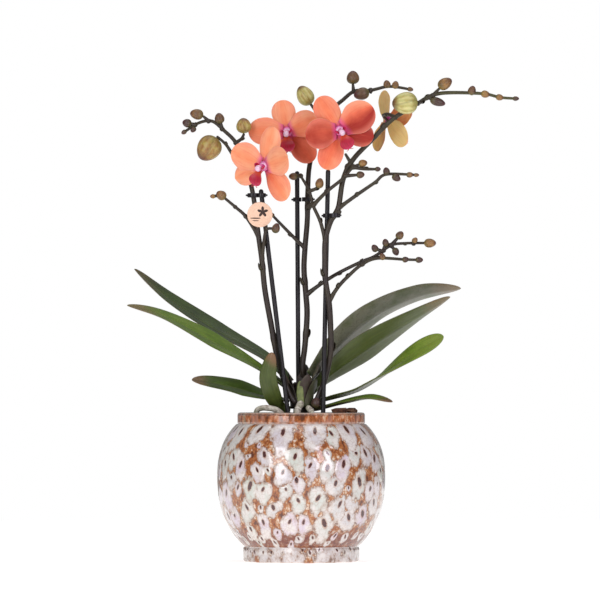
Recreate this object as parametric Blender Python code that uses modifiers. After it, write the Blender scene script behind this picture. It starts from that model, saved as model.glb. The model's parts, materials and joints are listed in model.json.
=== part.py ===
"""A moth orchid with three flower spikes, in its grow pot, standing in a round glazed pot.

Metres, +Z up. The origin is the middle of the glazed pot's underside, and -Y is the front.
Points on the plant are in millimetres from the middle of the pot's rim plane, so the plant
follows the pot when the pot's height changes.
"""

import math

import bmesh
import bpy
from mathutils import Matrix, Vector

MM = 0.001
GAP = 0.3 * MM  # left between pieces that touch

# Glazed pot
POT_HEIGHT = 122 * MM
POT_RIM_RADIUS = 52.3 * MM
POT_RIM_BAND = 9.6 * MM
POT_BELLY_RADIUS = 68.8 * MM
POT_BELLY_LEVEL = 0.58  # share of the height where the belly is widest
POT_BELLY_SQUARENESS = 2.3  # 2 is an ellipse
POT_FOOT_RADIUS = 47.8 * MM
POT_FOOT_HEIGHT = 13 * MM
POT_GROOVE = 1.0 * MM
POT_WALL = 5 * MM
POT_FLOOR = 7 * MM
POT_EDGE = 1.2 * MM
POT_SIDES = 32
POT_BELLY_STEPS = 10

# Plastic grow pot inside it
GROW_POT_WALL = 1.2 * MM
GROW_POT_CLEARANCE = 2.2 * MM
GROW_POT_DROP = 6 * MM  # its rim below the glazed rim
GROW_POT_TAPER = 0.72  # base radius over rim radius
GROW_POT_LIP = 2.0 * MM
GROW_POT_LIP_HEIGHT = 4 * MM
DRAIN_HOLE_RADIUS = 3.5 * MM
DRAIN_HOLE_COUNT = 6
DRAIN_RING = 0.6  # share of the base radius
GROW_POT_SIDES = 24

# Bark
BARK_MOUND = 3.5 * MM  # the middle above the grow pot's rim
BARK_CHIP = (13 * MM, 7.5 * MM, 5.5 * MM)

# Stakes and clips
STAKE_RADIUS = 1.9 * MM
STAKE_DEPTH = 70 * MM  # below the rim plane
STAKE_POINT = 6 * MM
HOLE_CLEARANCE = 0.5 * MM
STEM_CLEARANCE = 1.2 * MM  # the stems lean in their rings
CLIP_WALL = 1.1 * MM
CLIP_HEIGHT = 3.4 * MM
CLIP_SLIT = 1.2 * MM

# Tag
TAG_RADIUS = 10.3 * MM
TAG_THICKNESS = 0.8 * MM
TAG_COLLAR_HEIGHT = 4 * MM
TAG_LEVEL = 161.5 * MM

# Stems
SPIKE_FOOT_RADIUS = 2.3 * MM
SPIKE_TIP_RADIUS = 0.95 * MM
BRANCH_RADIUS = 1.35 * MM
BRANCH_TIP_RADIUS = 0.95 * MM

# Leaves
LEAF_THICKNESS = 1.6 * MM
LEAF_BASE = 0.45  # width at the crown over the greatest width
LEAF_WIDEST = 0.5  # where along the blade it is widest
LEAF_ROWS = 9
LEAF_COLUMNS = 4

# Crown: the short stem that carries leaves, roots and spikes
CROWN_RADIUS = 6.6 * MM
CROWN_DEPTH = 16 * MM
CROWN_TOP = 29 * MM
CROWN_SIDES = 14

# Flowers
FLOWER_SCALE = 1.0
TEPAL_THICKNESS = 0.8 * MM
TEPAL_START = 2.9 * MM  # from the flower's axis
SETBACKS = {"dorsal_sepal": 1.8, "sepal_left": 1.8, "sepal_right": 3.6}  # mm behind the petals
OUTLINES = {  # width at the base over the greatest width, and where it is widest
    "dorsal_sepal": (0.55, 0.55),
    "petal_left": (0.5, 0.5),
    "petal_right": (0.5, 0.5),
    "sepal_left": (0.36, 0.56),
    "sepal_right": (0.36, 0.56),
}
TEPAL_TIP = 0.16  # width of the blunt tip over the greatest width
TEPAL_CURL = 0.6 * MM  # how far the margins lie behind the middle
COLUMN_RADIUS = 1.9 * MM
COLUMN_LENGTH = 7.5 * MM
LIP_LENGTH = 16 * MM
LIP_WIDTH = 12 * MM
LIP_THICKNESS = 1.0 * MM

# Midribs from the crown outwards, with the blade's greatest half width, the roll at base, middle
# and tip in degrees (positive raises the edge nearer the front), and the fold along the midrib.
LEAVES = {
    "leaf_left_upper": (
        ((-10, 6, 25), (-28, 13, 43.5), (-68, 24, 66), (-110, 29, 93.5), (-138, 31, 118.4)),
        14.5, (-8, -18, -14), 12),
    "leaf_left_middle": (
        ((-9, 3, 17), (-30, -1, 33), (-70, -12, 56), (-112, -19, 78), (-142, -23, 87.3)),
        15.5, (-20, -26, -16), 10),
    "leaf_left_low": (
        ((-9.5, 1, 9), (-30, 0, 13), (-55, -4, 20), (-75, -8, 24), (-89.5, -10, 26.6)),
        13.5, (-6, -30, -24), 10),
    "leaf_left_front": (
        ((-9, -5, 1.5), (-17, -9, 4), (-23, -17, 12), (-27.5, -23, 29), (-23.5, -27, 49)),
        7.5, (0, 0, 0), 16),
    "leaf_right_upper": (
        ((8.5, 4, 29), (27, 10, 52), (60, 13, 80), (97, 12, 96.5), (131, 4, 102)),
        18, (56, 30, 16), 10),
    "leaf_right_middle": (
        ((9.5, 4, 18), (22, 7.5, 30), (38, 6, 42), (60, 0, 57), (90, -5, 75.5), (122, -8, 94.6)),
        15, (52, 34, 14), 10),
    "leaf_right_twisted": (
        ((9.5, 5.5, 8.5), (26, 5, 12), (47, -3, 18.5), (66, -11, 30), (92, -18, 48), (116, -24, 62.3)),
        14.5, (8, -12, -58), 8),
    "leaf_right_low": (
        ((9.5, 2, 1.5), (22, 1, 5), (38, -6, 9), (56, -13, 12), (74.5, -18, 8.5)),
        8, (-4, -14, -14), 12),
}

LEAF_FACES = {"leaf_left_front": (0.2, 1, 0.1)}  # the upright leaf faces back; the rest face up

# Stems as points from the lower end upwards.
LEFT_SPIKE = {
    "stem": (
        (-6, -9.4, 9), (-11, -9.8, 18), (-19, -9.5, 43), (-24.8, -12.5, 73), (-29.7, -15, 100.4),
        (-32.1, -16, 124.2), (-35.4, -16, 147.9), (-38.7, -15.5, 174.2), (-42.3, -13, 190.6),
        (-47.7, -10, 207), (-53.5, -8, 220.9), (-63.3, -7, 231), (-73.1, -7, 238.6),
        (-84, -8.5, 237), (-95, -10, 230)),
    "branches": (
        ((-32, -16, 125.5), (-30.6, -20.6, 138), (-28.5, -21.8, 149), (-22.5, -22, 150)),
        ((-35.2, -16, 144.7), (-44.9, -17, 159.7), (-53.5, -17, 167.6), (-65.4, -17, 177.5)),
        ((-46, -10.6, 203), (-54.3, -11, 208.6), (-61.4, -10.6, 219), (-67.4, -9.7, 226.6)),
        ((-53.5, -8, 220.9), (-49, -8.6, 224), (-47.1, -9, 227.5)),
        ((-41.8, -13.2, 189), (-34.5, -17.5, 195), (-30.1, -30, 200.7)),
        ((-64.8, -7, 232.3), (-67, -7, 240.9)),
        ((-76, -7.4, 238.8), (-79.6, -8, 241.3)),
        ((-87, -9, 235.6), (-93.6, -9, 236.9)),
        ((-65.4, -17, 177.5), (-72.3, -17, 176.6))),
    "buds": (
        ((-20.6, -22, 150.4), 8.4, 6.6, (0.3, 0, 1)),
        ((-65.4, -17, 177.5), 8.8, 7.8, (-0.8, 0, 0.5)),
        ((-72.3, -17, 176.6), 4.4, 3.6, (-1, 0, 0)),
        ((-67, -7, 240.9), 9, 8, (-0.2, 0, 1)),
        ((-93.6, -9, 236.9), 7.6, 7, (-1, 0, 0.3)),
        ((-88.4, -9.6, 231.6), 5.4, 4.6, (-0.6, 0, -0.8)),
        ((-96, -10, 229.4), 4.6, 3.8, (-0.8, 0, -0.5))),
}
MIDDLE_SPIKE = {
    "stem": (
        (4, 10, 16), (2.8, 9.4, 27), (1, 7.4, 37), (3.1, 6, 55.3), (4.8, 5.5, 80), (3.9, 5.5, 96.3),
        (2.3, 5.5, 117), (3.1, 5.5, 135), (5, 5.5, 158), (5.4, 5.5, 181.6), (6.9, 6.5, 203),
        (13, 8, 227), (25, 8, 248), (34.3, 6, 256.8), (44, 5, 264), (57, 4, 264.6),
        (70.4, 4, 267.6), (80, 4, 267), (88.4, 4, 265.5)),
    "branches": (
        ((3.1, 5.5, 135), (-8, 3, 145.6), (-23.9, -2, 161.9)),
        ((3.9, 5.5, 96.3), (15.4, 3, 104.9), (30, -1, 114), (49, -7, 123.3), (60, -8.5, 127.8),
         (73.4, -9, 136.7), (84, -9, 138.4), (101, -9, 138.7)),
        ((27.4, 7.6, 250.4), (24, 0, 247), (26.4, -13, 238.6), (31.2, -21.1, 230.6)),
        ((10.6, 7.4, 219), (3, 7.4, 228.6), (-5, 4, 233.4), (-11, -1.7, 231)),
        ((18, 8.2, 238), (13, 7.4, 246), (8.1, 6.5, 252.8)),
        ((43, 5, 263.8), (42.5, 5, 269.4)),
        ((57, 4, 264.6), (57.6, 0, 263.6), (56.7, -1.8, 263.1)),
        ((66, -8.8, 132), (60.6, -8.5, 134.2)),
        ((73.4, -9, 136.7), (77, -9, 132.4)),
        ((67.4, -8.9, 132.8), (69, -9, 138.6)),
        ((92, -9.2, 138.6), (93, -9.5, 140.8)),
        ((73.4, -9, 136.7), (80.7, -9, 144.7))),
    "buds": (
        ((-23.9, -2, 161.9), 4.4, 3.6, (-0.7, 0, 0.7)),
        ((105.4, -9, 138.6), 10, 7.4, (1, 0, 0)),
        ((93, -9.5, 140.8), 5.4, 4.6, (0.6, 0, 0.8)),
        ((80.7, -9, 145), 7.4, 6.4, (0.6, 0, 0.8)),
        ((77.4, -9, 131.6), 6.8, 5.6, (0.4, 0, -0.9)),
        ((60.2, -8.5, 134.4), 6.6, 5.6, (-0.5, 0, 0.8)),
        ((69, -9, 139), 6.4, 5.4, (-0.2, 0, 1)),
        ((70.4, 4, 269.6), 6.8, 6, (-0.2, 0, 1)),
        ((77.4, 4, 269), 6.6, 5.8, (0.2, 0, 1)),
        ((89.6, 4, 265.4), 5, 3.8, (1, 0, -0.2))),
}
RIGHT_SPIKE = {
    "stem": (
        (11, -7.6, 5), (13.6, -7.4, 12), (19.2, -5, 26.6), (24, -9, 49), (24, -14, 68),
        (22.8, -16.5, 89), (19.8, -16.6, 108), (19.3, -16.3, 125), (19.8, -16, 141.4),
        (24, -16, 156), (30.2, -16, 166.8), (34.3, -14, 190.6), (42.5, -11, 207),
        (58.9, -10, 224.2), (73.6, -12, 239), (94.7, -14, 252.4), (108, -14, 259.6),
        (122.8, -13, 261.6), (149, -12, 260.8), (162.7, -12, 257.8), (175.7, -12, 256.8)),
    "branches": (
        ((19.8, -16, 140), (15.6, -14.6, 156), (9.7, -13, 169.3), (6.6, -13, 181), (-1, -13, 194.4)),
        ((9.7, -13, 169.3), (20.3, -18.4, 179.9), (33.5, -19.4, 190.6), (42.5, -17.5, 200.4),
         (49.9, -16, 203.3)),
        ((30.2, -16, 166.8), (45, -18, 177.4), (60.1, -20, 187.7), (69.5, -21, 194.4),
         (93.3, -21, 193.9)),
        ((22.9, -16.3, 91.4), (30, -15.4, 102.4), (37.6, -14.4, 110.6), (49, -14.8, 120.6),
         (62, -15, 126), (85, -15, 125), (96, -15, 124.7)),
        ((-0.6, -13, 193.4), (-6.7, -13, 193)),
        ((6.6, -13, 181), (12, -14, 183), (15, -14, 186.8)),
        ((36, -19.2, 193.2), (47.9, -17, 194.2)),
        ((42.5, -17.5, 200.4), (52, -17, 199), (62, -17, 198.8)),
        ((95.4, -14, 252.8), (99, -18, 254), (98.4, -21, 253.6)),
        ((77, -12.2, 241.4), (71, -2, 244.6), (67.6, 9, 244), (70.9, 16.8, 240.8)),
        ((108, -14, 259.6), (112.4, -14, 264.4)),
        ((104, -14, 257.6), (111, -14, 254.4)),
        ((40.6, -11.6, 204), (36.4, -12.4, 211))),
    "buds": (
        ((12.4, -7.6, 8), 9.6, 8.4, (0.2, 0, 1)),
        ((-6.7, -13, 193), 7, 6, (-1, 0, 0)),
        ((15, -14, 187.4), 8.6, 6.8, (0.2, 0, 1)),
        ((50.4, -16, 203.6), 7.4, 6.2, (0.9, 0, 0.2)),
        ((48.4, -17, 194.2), 6.8, 5.8, (0.9, 0, 0.1)),
        ((62.6, -17, 198.8), 4.8, 4, (1, 0, 0)),
        ((69.5, -21, 197), 6.4, 5.6, (-0.2, 0, 1)),
        ((77.6, -21, 191.6), 7.6, 6, (0.8, 0, -0.5)),
        ((88.7, -21, 194), 6, 4.6, (1, 0, 0)),
        ((94, -21, 193.8), 4.6, 3.2, (1, 0, 0)),
        ((66.3, -15, 127.4), 6, 5, (-0.3, 0, 0.9)),
        ((85.2, -15, 125), 5.6, 4.8, (1, 0, 0.2)),
        ((96.4, -15, 124.7), 6.4, 5, (1, 0, 0)),
        ((111.6, -14, 254), 13, 7, (1, 0, -0.3)),
        ((139.7, -12.4, 263.4), 8, 6.6, (0.3, 0, 1)),
        ((150.7, -12, 260.4), 7.4, 6, (1, 0, -0.2)),
        ((162.4, -12, 257.8), 6.6, 5.2, (1, 0, -0.2)),
        ((175.6, -12, 256.8), 5.4, 3.8, (1, 0, 0))),
}

# Buds large enough to be pieces of their own: middle, length, width, direction of the tip.
BUDS = {
    "bud_left_large": ((-75.8, -11, 216), 22, 19.5, (-0.6, -0.1, -0.8)),
    "bud_left_round": ((-47.1, -9, 234.8), 12.6, 12.2, (-0.1, 0, 1)),
    "bud_left_end": ((-85.6, -8.6, 244.2), 11, 8.6, (-1, 0, 0.2)),
    "bud_middle_top": ((3.1, 6, 260.4), 17.4, 13.6, (-0.5, 0, 0.85)),
    "bud_middle_upper": ((42.5, 5, 275.2), 11, 10.4, (0, 0, 1)),
    "bud_middle_side": ((49.4, -3.4, 261.2), 13, 10, (-1, -0.2, -0.3)),
    "bud_right_upper": ((117.6, -14, 269), 12.6, 9.4, (0.8, 0, 0.5)),
    "bud_right_large": ((84.6, -23.3, 252.4), 21, 18, (-1, -0.1, -0.05)),
}

# Flowers: middle, direction faced, turn of the whole flower clockwise in degrees, then for each
# blade its angle from the flower's top, length, greatest width and forward reach of its tip.
FLOWERS = {
    "flower_left": ((-31.3, -32, 200.4), (-0.5, -0.85, -0.12), 17, {
        "dorsal_sepal": (3, 31, 19, 1),
        "petal_left": (-80, 27.5, 24, 3),
        "petal_right": (59, 27, 24, 9),
        "sepal_left": (-126, 26, 19, 2),
        "sepal_right": (127, 31, 21, 3)}),
    "flower_back": ((-11.6, -4, 229.9), (-0.12, -0.98, -0.1), -7, {
        "dorsal_sepal": (-4, 23.5, 20, 0),
        "petal_left": (-81, 29, 23, 2),
        "petal_right": (72, 25, 22, 3),
        "sepal_left": (-142, 22, 16, -2),
        "sepal_right": (146, 29, 20, 1)}),
    "flower_front": ((31.8, -23.4, 229.9), (0.14, -0.98, -0.12), -26, {
        "dorsal_sepal": (-8, 29.5, 21, 0),
        "petal_left": (-72, 27, 25, 9),
        "petal_right": (79, 30, 27, 2),
        "sepal_left": (-134, 31, 21, 0),
        "sepal_right": (127, 26, 20, 0)}),
    "flower_right": ((72.8, 18, 240.6), (0.8, 0.5, -0.1), 12, {
        "dorsal_sepal": (10, 23.5, 17, 0),
        "petal_left": (-88, 20, 20, 8),
        "petal_right": (78, 22, 22, 12),
        "sepal_left": (-136, 33, 19, 3),
        "sepal_right": (147, 24.5, 18, 0)}),
}

# Stakes: foot at the rim plane, top.
STAKES = {
    "left": ((-10.9, -15, 0), (-33, -17, 182.4)),
    "middle": ((-2.2, 11.8, 0), (-3.4, 10, 198.4)),
    "right": ((17.9, -12, 0), (22, -11, 198.8)),
}
CLIP_LEVELS = {"left": 177.5, "middle": 175, "right": 161}

# Roots above the bark, as points and a radius.
ROOTS = {
    "root_front": (((-0.6, -10.6, 7), (-2.6, -12.8, 3), (-3.6, -15.6, -3), (-3, -16.4, -12)), 2.9),
    "root_right": (((6, -10.8, 3.6), (8.6, -14, 0), (9.6, -16.6, -6), (10, -17, -12)), 2.4),
    "root_left": (((-11, -22.6, -10), (-14.4, -22.6, -3), (-21, -21.8, 2.4), (-31, -19, 3.8),
                   (-36.4, -14.6, 1), (-36.6, -11, -8)), 2.6),
}

# Loose chips near the rim: middle, turn in degrees, and least room from the middle to the wall.
CHIPS = {
    "bark_chip_front": ((31, -17, 1.4), 24, 8.4),
    "bark_chip_side": ((41, -3, 1.2), 70, 6.1),
}

FINISHES = {
    "glaze": ((0.72, 0.66, 0.62), 0.12),
    "black_plastic": ((0.03, 0.03, 0.035), 0.45),
    "grow_pot_plastic": ((0.16, 0.08, 0.05), 0.4),
    "bark": ((0.12, 0.06, 0.035), 0.9),
    "leaf": ((0.10, 0.22, 0.03), 0.35),
    "stem": ((0.07, 0.06, 0.03), 0.5),
    "crown": ((0.30, 0.36, 0.14), 0.5),
    "root": ((0.72, 0.70, 0.62), 0.7),
    "petal": ((0.93, 0.32, 0.13), 0.5),
    "lip": ((0.60, 0.03, 0.10), 0.45),
    "bud": ((0.35, 0.25, 0.06), 0.5),
    "tag_card": ((0.88, 0.62, 0.44), 0.8),
}


def clear_scene():
    for obj in list(bpy.data.objects):
        bpy.data.objects.remove(obj, do_unlink=True)


def new_collection(name, parent=None):
    collection = bpy.data.collections.new(name)
    (parent or bpy.context.scene.collection).children.link(collection)
    return collection


def finish(name):
    """The named finish, made once."""
    found = bpy.data.materials.get(name)
    if found:
        return found
    colour, roughness = FINISHES[name]
    made = bpy.data.materials.new(name)
    made.use_nodes = True
    shader = made.node_tree.nodes["Principled BSDF"]
    shader.inputs["Base Color"].default_value = (*colour, 1)
    shader.inputs["Roughness"].default_value = roughness
    shader.inputs["Metallic"].default_value = 0
    return made


def add_object(name, data, finish_name, collection):
    obj = bpy.data.objects.new(name, data)
    collection.objects.link(obj)
    data.materials.append(finish(finish_name))
    if obj.type == "MESH":
        data.shade_smooth()
        data.set_sharp_from_angle(angle=math.radians(40))
    return obj


def as_cutter(obj):
    obj.hide_render = True
    obj.display_type = "WIRE"


def on_plant(point):
    """A point given in millimetres from the rim plane, in metres."""
    x, y, z = point[:3]
    return Vector((x * MM, y * MM, POT_HEIGHT + z * MM))


def kept_within(point, limit):
    """The point, drawn in towards the axis if it lies further out than the limit."""
    x, y, z = point
    share = min(1, limit / (math.hypot(x, y) * MM))
    return (x * share, y * share, z)


def smooth_path(points, steps):
    """Points along a smooth curve through the given ones, steps to a span."""
    knots = [Vector(point) for point in points]
    last = len(knots) - 1
    path = [knots[0]]
    for index in range(last):
        start = knots[index]
        end = knots[index + 1]
        leaving = (end - knots[max(index - 1, 0)]) / 2
        arriving = (knots[min(index + 2, last)] - start) / 2
        for step in range(1, steps + 1):
            t = step / steps
            path.append(
                start * (2 * t**3 - 3 * t**2 + 1)
                + leaving * (t**3 - 2 * t**2 + t)
                + end * (3 * t**2 - 2 * t**3)
                + arriving * (t**3 - t**2)
            )
    return path


def along_path(path, share):
    """The point and direction at a share of the path's length."""
    lengths = [(b - a).length for a, b in zip(path, path[1:])]
    target = share * sum(lengths)
    for index, length in enumerate(lengths):
        if target <= length or index == len(lengths) - 1:
            break
        target -= length
    start = path[index]
    end = path[index + 1]
    point = start.lerp(end, min(target / length, 1))
    before = path[max(index - 1, 0)]
    after = path[min(index + 2, len(path) - 1)]
    return point, (after - before).normalized()


def at_height(path, height):
    """Where a rising path passes a height."""
    for start, end in zip(path, path[1:]):
        if start.z <= height <= end.z:
            return start.lerp(end, (height - start.z) / (end.z - start.z))
    raise ValueError("the path does not reach that height")


def taper(share, narrow, peak, tip):
    """Half width along a blade or petal: narrow at its base, full at the peak, rounded at its end."""
    if share < peak:
        return narrow + (1 - narrow) * math.sin(math.pi / 2 * share / peak) ** 1.3
    beyond = (share - peak) / (1 - peak)
    return max(math.sqrt(max(1 - beyond**2.2, 0)), tip)


def turned(name, profile, sides, finish_name, collection):
    """A turned solid. The profile runs from the axis inside, over the top and down the outside."""
    mesh = bpy.data.meshes.new(name)
    edges = [(index, index + 1) for index in range(len(profile) - 1)]
    mesh.from_pydata([(radius, 0, z) for radius, z in profile], edges, [])
    obj = add_object(name, mesh, finish_name, collection)
    screw = obj.modifiers.new("Turn", "SCREW")
    screw.steps = sides
    screw.render_steps = sides
    screw.use_merge_vertices = True
    screw.merge_threshold = 1e-5
    screw.use_smooth_shade = True
    return obj


def sheet(name, rows, columns, place, thickness, finish_name, collection):
    """A grid laid on a surface by place(along, across), and thickened."""
    mesh = bpy.data.meshes.new(name)
    shape = bmesh.new()
    bmesh.ops.create_grid(shape, x_segments=rows, y_segments=columns, size=0.5)
    for vertex in shape.verts:
        vertex.co = place(vertex.co.x + 0.5, vertex.co.y * 2)
    shape.to_mesh(mesh)
    shape.free()
    obj = add_object(name, mesh, finish_name, collection)
    solidify = obj.modifiers.new("Thickness", "SOLIDIFY")
    solidify.thickness = thickness
    solidify.offset = 0
    return obj


def tube(name, path, start_radius, end_radius, bevel_resolution, finish_name, collection):
    """A closed tapering tube as a mesh: a bevelled curve whose caps are welded."""
    curve = bpy.data.curves.new(name, "CURVE")
    curve.dimensions = "3D"
    curve.bevel_depth = MM
    curve.bevel_resolution = bevel_resolution
    curve.use_fill_caps = True
    spline = curve.splines.new("POLY")
    spline.points.add(len(path) - 1)
    for index, point in enumerate(path):
        share = index / (len(path) - 1)
        spline.points[index].co = (*point, 1)
        spline.points[index].radius = (start_radius + (end_radius - start_radius) * share) / MM
    guide = bpy.data.objects.new(name, curve)
    collection.objects.link(guide)
    graph = bpy.context.evaluated_depsgraph_get()
    mesh = bpy.data.meshes.new_from_object(guide.evaluated_get(graph))
    matrix = guide.matrix_world.copy()
    bpy.data.objects.remove(guide)
    shape = bmesh.new()
    shape.from_mesh(mesh)
    bmesh.ops.remove_doubles(shape, verts=shape.verts, dist=1e-6)
    bmesh.ops.recalc_face_normals(shape, faces=shape.faces)
    shape.to_mesh(mesh)
    shape.free()
    mesh.materials.clear()
    mesh.name = name
    obj = add_object(name, mesh, finish_name, collection)
    obj.matrix_world = matrix
    return obj


def direction_matrix(direction):
    return Vector(direction).to_track_quat("Z", "Y").to_matrix().to_4x4()


def bud(name, middle, length, width, direction, detail, finish_name, collection):
    """An egg with its narrower end at the tip."""
    mesh = bpy.data.meshes.new(name)
    shape = bmesh.new()
    bmesh.ops.create_uvsphere(shape, u_segments=detail, v_segments=detail - 2, radius=1)
    for vertex in shape.verts:
        narrowing = 1 - 0.16 * vertex.co.z
        vertex.co.x *= width / 2 * MM * narrowing
        vertex.co.y *= width / 2 * MM * narrowing
        vertex.co.z *= length / 2 * MM
    shape.to_mesh(mesh)
    shape.free()
    mesh.transform(Matrix.Translation(on_plant(middle)) @ direction_matrix(direction))
    return add_object(name, mesh, finish_name, collection)


def add_boolean(obj, operation, collection):
    boolean = obj.modifiers.new(operation.title(), "BOOLEAN")
    boolean.operation = operation
    boolean.operand_type = "COLLECTION"
    boolean.collection = collection
    boolean.solver = "EXACT"


def pot_profile(inset):
    """The glazed pot's outside from the rim band down to the foot, moved in by the inset."""
    middle = POT_HEIGHT * POT_BELLY_LEVEL
    band_foot = POT_HEIGHT - POT_RIM_BAND
    upper_reach = reach_of(band_foot - middle, POT_RIM_RADIUS + POT_GROOVE)
    lower_reach = reach_of(middle - POT_FOOT_HEIGHT, POT_FOOT_RADIUS)
    points = []
    for step in range(POT_BELLY_STEPS + 1):
        share = step / POT_BELLY_STEPS
        z = band_foot - share * (band_foot - POT_FOOT_HEIGHT)
        reach = upper_reach if z > middle else lower_reach
        level = abs(z - middle) / reach
        radius = POT_BELLY_RADIUS * (1 - level**POT_BELLY_SQUARENESS) ** (1 / POT_BELLY_SQUARENESS)
        points.append((radius - inset, z))
    return points


def reach_of(rise, radius):
    """How far the belly's curve would run before closing, if it has this radius at this rise."""
    share = (radius / POT_BELLY_RADIUS) ** POT_BELLY_SQUARENESS
    return rise / (1 - share) ** (1 / POT_BELLY_SQUARENESS)


def make_glazed_pot(parts):
    edge = POT_EDGE
    band_foot = POT_HEIGHT - POT_RIM_BAND
    rim_inside = POT_RIM_RADIUS - POT_WALL
    inside = [point for point in reversed(pot_profile(POT_WALL)) if point[1] > POT_FLOOR + edge]
    outside = pot_profile(0)
    profile = [(0, POT_FLOOR), (inside[0][0] - 2 * edge, POT_FLOOR)]
    profile += inside[:-1]
    profile += [
        (rim_inside, band_foot),
        (rim_inside, POT_HEIGHT - edge),
        (rim_inside + edge, POT_HEIGHT),
        (POT_RIM_RADIUS - edge, POT_HEIGHT),
        (POT_RIM_RADIUS, POT_HEIGHT - edge),
        (POT_RIM_RADIUS, band_foot + POT_GROOVE),
        (POT_RIM_RADIUS - POT_GROOVE / 2, band_foot + POT_GROOVE / 2),
    ]
    profile += outside[:-1]
    profile += [
        (POT_FOOT_RADIUS - POT_GROOVE, POT_FOOT_HEIGHT),
        (POT_FOOT_RADIUS, POT_FOOT_HEIGHT - edge),
        (POT_FOOT_RADIUS, edge),
        (POT_FOOT_RADIUS - edge, 0),
        (0, 0),
    ]
    turned("ceramic_pot", profile, POT_SIDES, "glaze", parts)


def grow_pot_sizes():
    """Rim radius, base radius, foot height and rim height of the grow pot."""
    rim_radius = POT_RIM_RADIUS - POT_WALL - GROW_POT_CLEARANCE
    foot = POT_FLOOR + GAP
    return rim_radius, rim_radius * GROW_POT_TAPER, foot, POT_HEIGHT - GROW_POT_DROP


def root_path(points, radius):
    """A root's path, kept inside the grow pot."""
    rim_radius = grow_pot_sizes()[0]
    limit = rim_radius - GROW_POT_LIP - GROW_POT_WALL - radius * MM
    inside = [kept_within(point, limit) for point in points]
    return [on_plant(point) for point in smooth_path(inside, 3)]


def make_grow_pot(parts, cutters):
    rim_radius, base_radius, foot, rim = grow_pot_sizes()
    body_radius = rim_radius - GROW_POT_LIP
    wall = GROW_POT_WALL
    profile = [
        (0, foot + wall),
        (base_radius - wall, foot + wall),
        (body_radius - wall, rim - GROW_POT_LIP_HEIGHT),
        (rim_radius - wall, rim),
        (rim_radius, rim),
        (rim_radius, rim - GROW_POT_LIP_HEIGHT),
        (body_radius, rim - GROW_POT_LIP_HEIGHT - wall),
        (base_radius, foot),
        (0, foot),
    ]
    pot = turned("grow_pot", profile, GROW_POT_SIDES, "grow_pot_plastic", parts)
    holes = new_collection("Drain holes", cutters)
    for index in range(DRAIN_HOLE_COUNT):
        angle = 2 * math.pi * index / DRAIN_HOLE_COUNT
        ring = base_radius * DRAIN_RING
        mesh = bpy.data.meshes.new(f"drain_hole_{index}")
        shape = bmesh.new()
        bmesh.ops.create_cone(
            shape, cap_ends=True, segments=12, radius1=DRAIN_HOLE_RADIUS,
            radius2=DRAIN_HOLE_RADIUS, depth=6 * wall,
        )
        shape.to_mesh(mesh)
        shape.free()
        place = (ring * math.cos(angle), ring * math.sin(angle), foot + wall / 2)
        mesh.transform(Matrix.Translation(place))
        as_cutter(add_object(f"drain_hole_{index}", mesh, "grow_pot_plastic", holes))
    add_boolean(pot, "DIFFERENCE", holes)


def make_bark(parts, cutters):
    """The bark, with a socket for the crown and a hole for each stake."""
    rim_radius, base_radius, foot, rim = grow_pot_sizes()
    inner = GROW_POT_WALL + GAP
    body_radius = rim_radius - GROW_POT_LIP
    top = rim - GROW_POT_LIP_HEIGHT
    profile = [
        (0, rim + BARK_MOUND),
        (body_radius * 0.45, rim + BARK_MOUND * 0.8),
        (body_radius * 0.8, rim - BARK_MOUND * 0.2),
        (body_radius - inner, top),
        (base_radius - inner, foot + inner),
        (0, foot + inner),
    ]
    bark = turned("bark_mix", profile, GROW_POT_SIDES, "bark", parts)
    sockets = new_collection("Bark sockets", cutters)
    for side, (start, end) in STAKES.items():
        path = stake_path(start, end)
        reach = (path[0] - path[1]).normalized() * GAP
        hole = [path[0] + reach, path[1]]
        radius = STAKE_RADIUS + GAP
        as_cutter(tube(f"stake_hole_{side}", hole, radius, radius, 3, "bark", sockets))
    for name, (points, radius) in ROOTS.items():
        path = root_path(points, radius)
        path[0] += (path[0] - path[1]).normalized() * GAP
        path[-1] += (path[-1] - path[-2]).normalized() * GAP
        width = radius * MM + GAP
        as_cutter(tube(f"{name}_socket", path, width, width, 2, "bark", sockets))
    socket = crown_profile(GAP)
    as_cutter(turned("crown_socket", socket, CROWN_SIDES, "bark", sockets))
    add_boolean(bark, "DIFFERENCE", sockets)


def make_chips(parts):
    for name, (middle, turn, room) in CHIPS.items():
        middle = kept_within(middle, POT_RIM_RADIUS - POT_WALL - room * MM)
        mesh = bpy.data.meshes.new(name)
        shape = bmesh.new()
        bmesh.ops.create_cube(shape, size=1)
        for vertex in shape.verts:
            length, width, height = BARK_CHIP
            skew = 0.14 * math.sin(7 * vertex.co.x + 3 * vertex.co.y + turn)
            vertex.co.x *= length * (1 + skew)
            vertex.co.y *= width * (1 - skew)
            vertex.co.z *= height * (1 + skew / 2)
        shape.to_mesh(mesh)
        shape.free()
        place = Matrix.Translation(on_plant(middle)) @ Matrix.Rotation(math.radians(turn), 4, "Z")
        mesh.transform(place @ Matrix.Rotation(math.radians(9), 4, "Y"))
        chip = add_object(name, mesh, "bark", parts)
        bevel = chip.modifiers.new("Worn edges", "BEVEL")
        bevel.width = 1.2 * MM
        bevel.segments = 2


def crown_profile(grow):
    top = POT_HEIGHT + CROWN_TOP
    radius = CROWN_RADIUS
    heights = ((0.3, 1.0), (0.62, 0.94), (0.86, 0.66), (0.96, 0.4))
    rise = top - (POT_HEIGHT - CROWN_DEPTH)
    foot = POT_HEIGHT - CROWN_DEPTH
    profile = [(0, top + grow)]
    profile += [(radius * width + grow, foot + rise * level) for level, width in reversed(heights)]
    profile += [(radius * 0.8 + grow, foot - grow), (0, foot - grow)]
    return profile


def make_crown(parts):
    turned("crown", crown_profile(0), CROWN_SIDES, "crown", parts)


def make_roots(parts):
    for name, (points, radius) in ROOTS.items():
        tube(name, root_path(points, radius), radius * MM, radius * MM * 0.8, 2, "root", parts)


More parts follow.
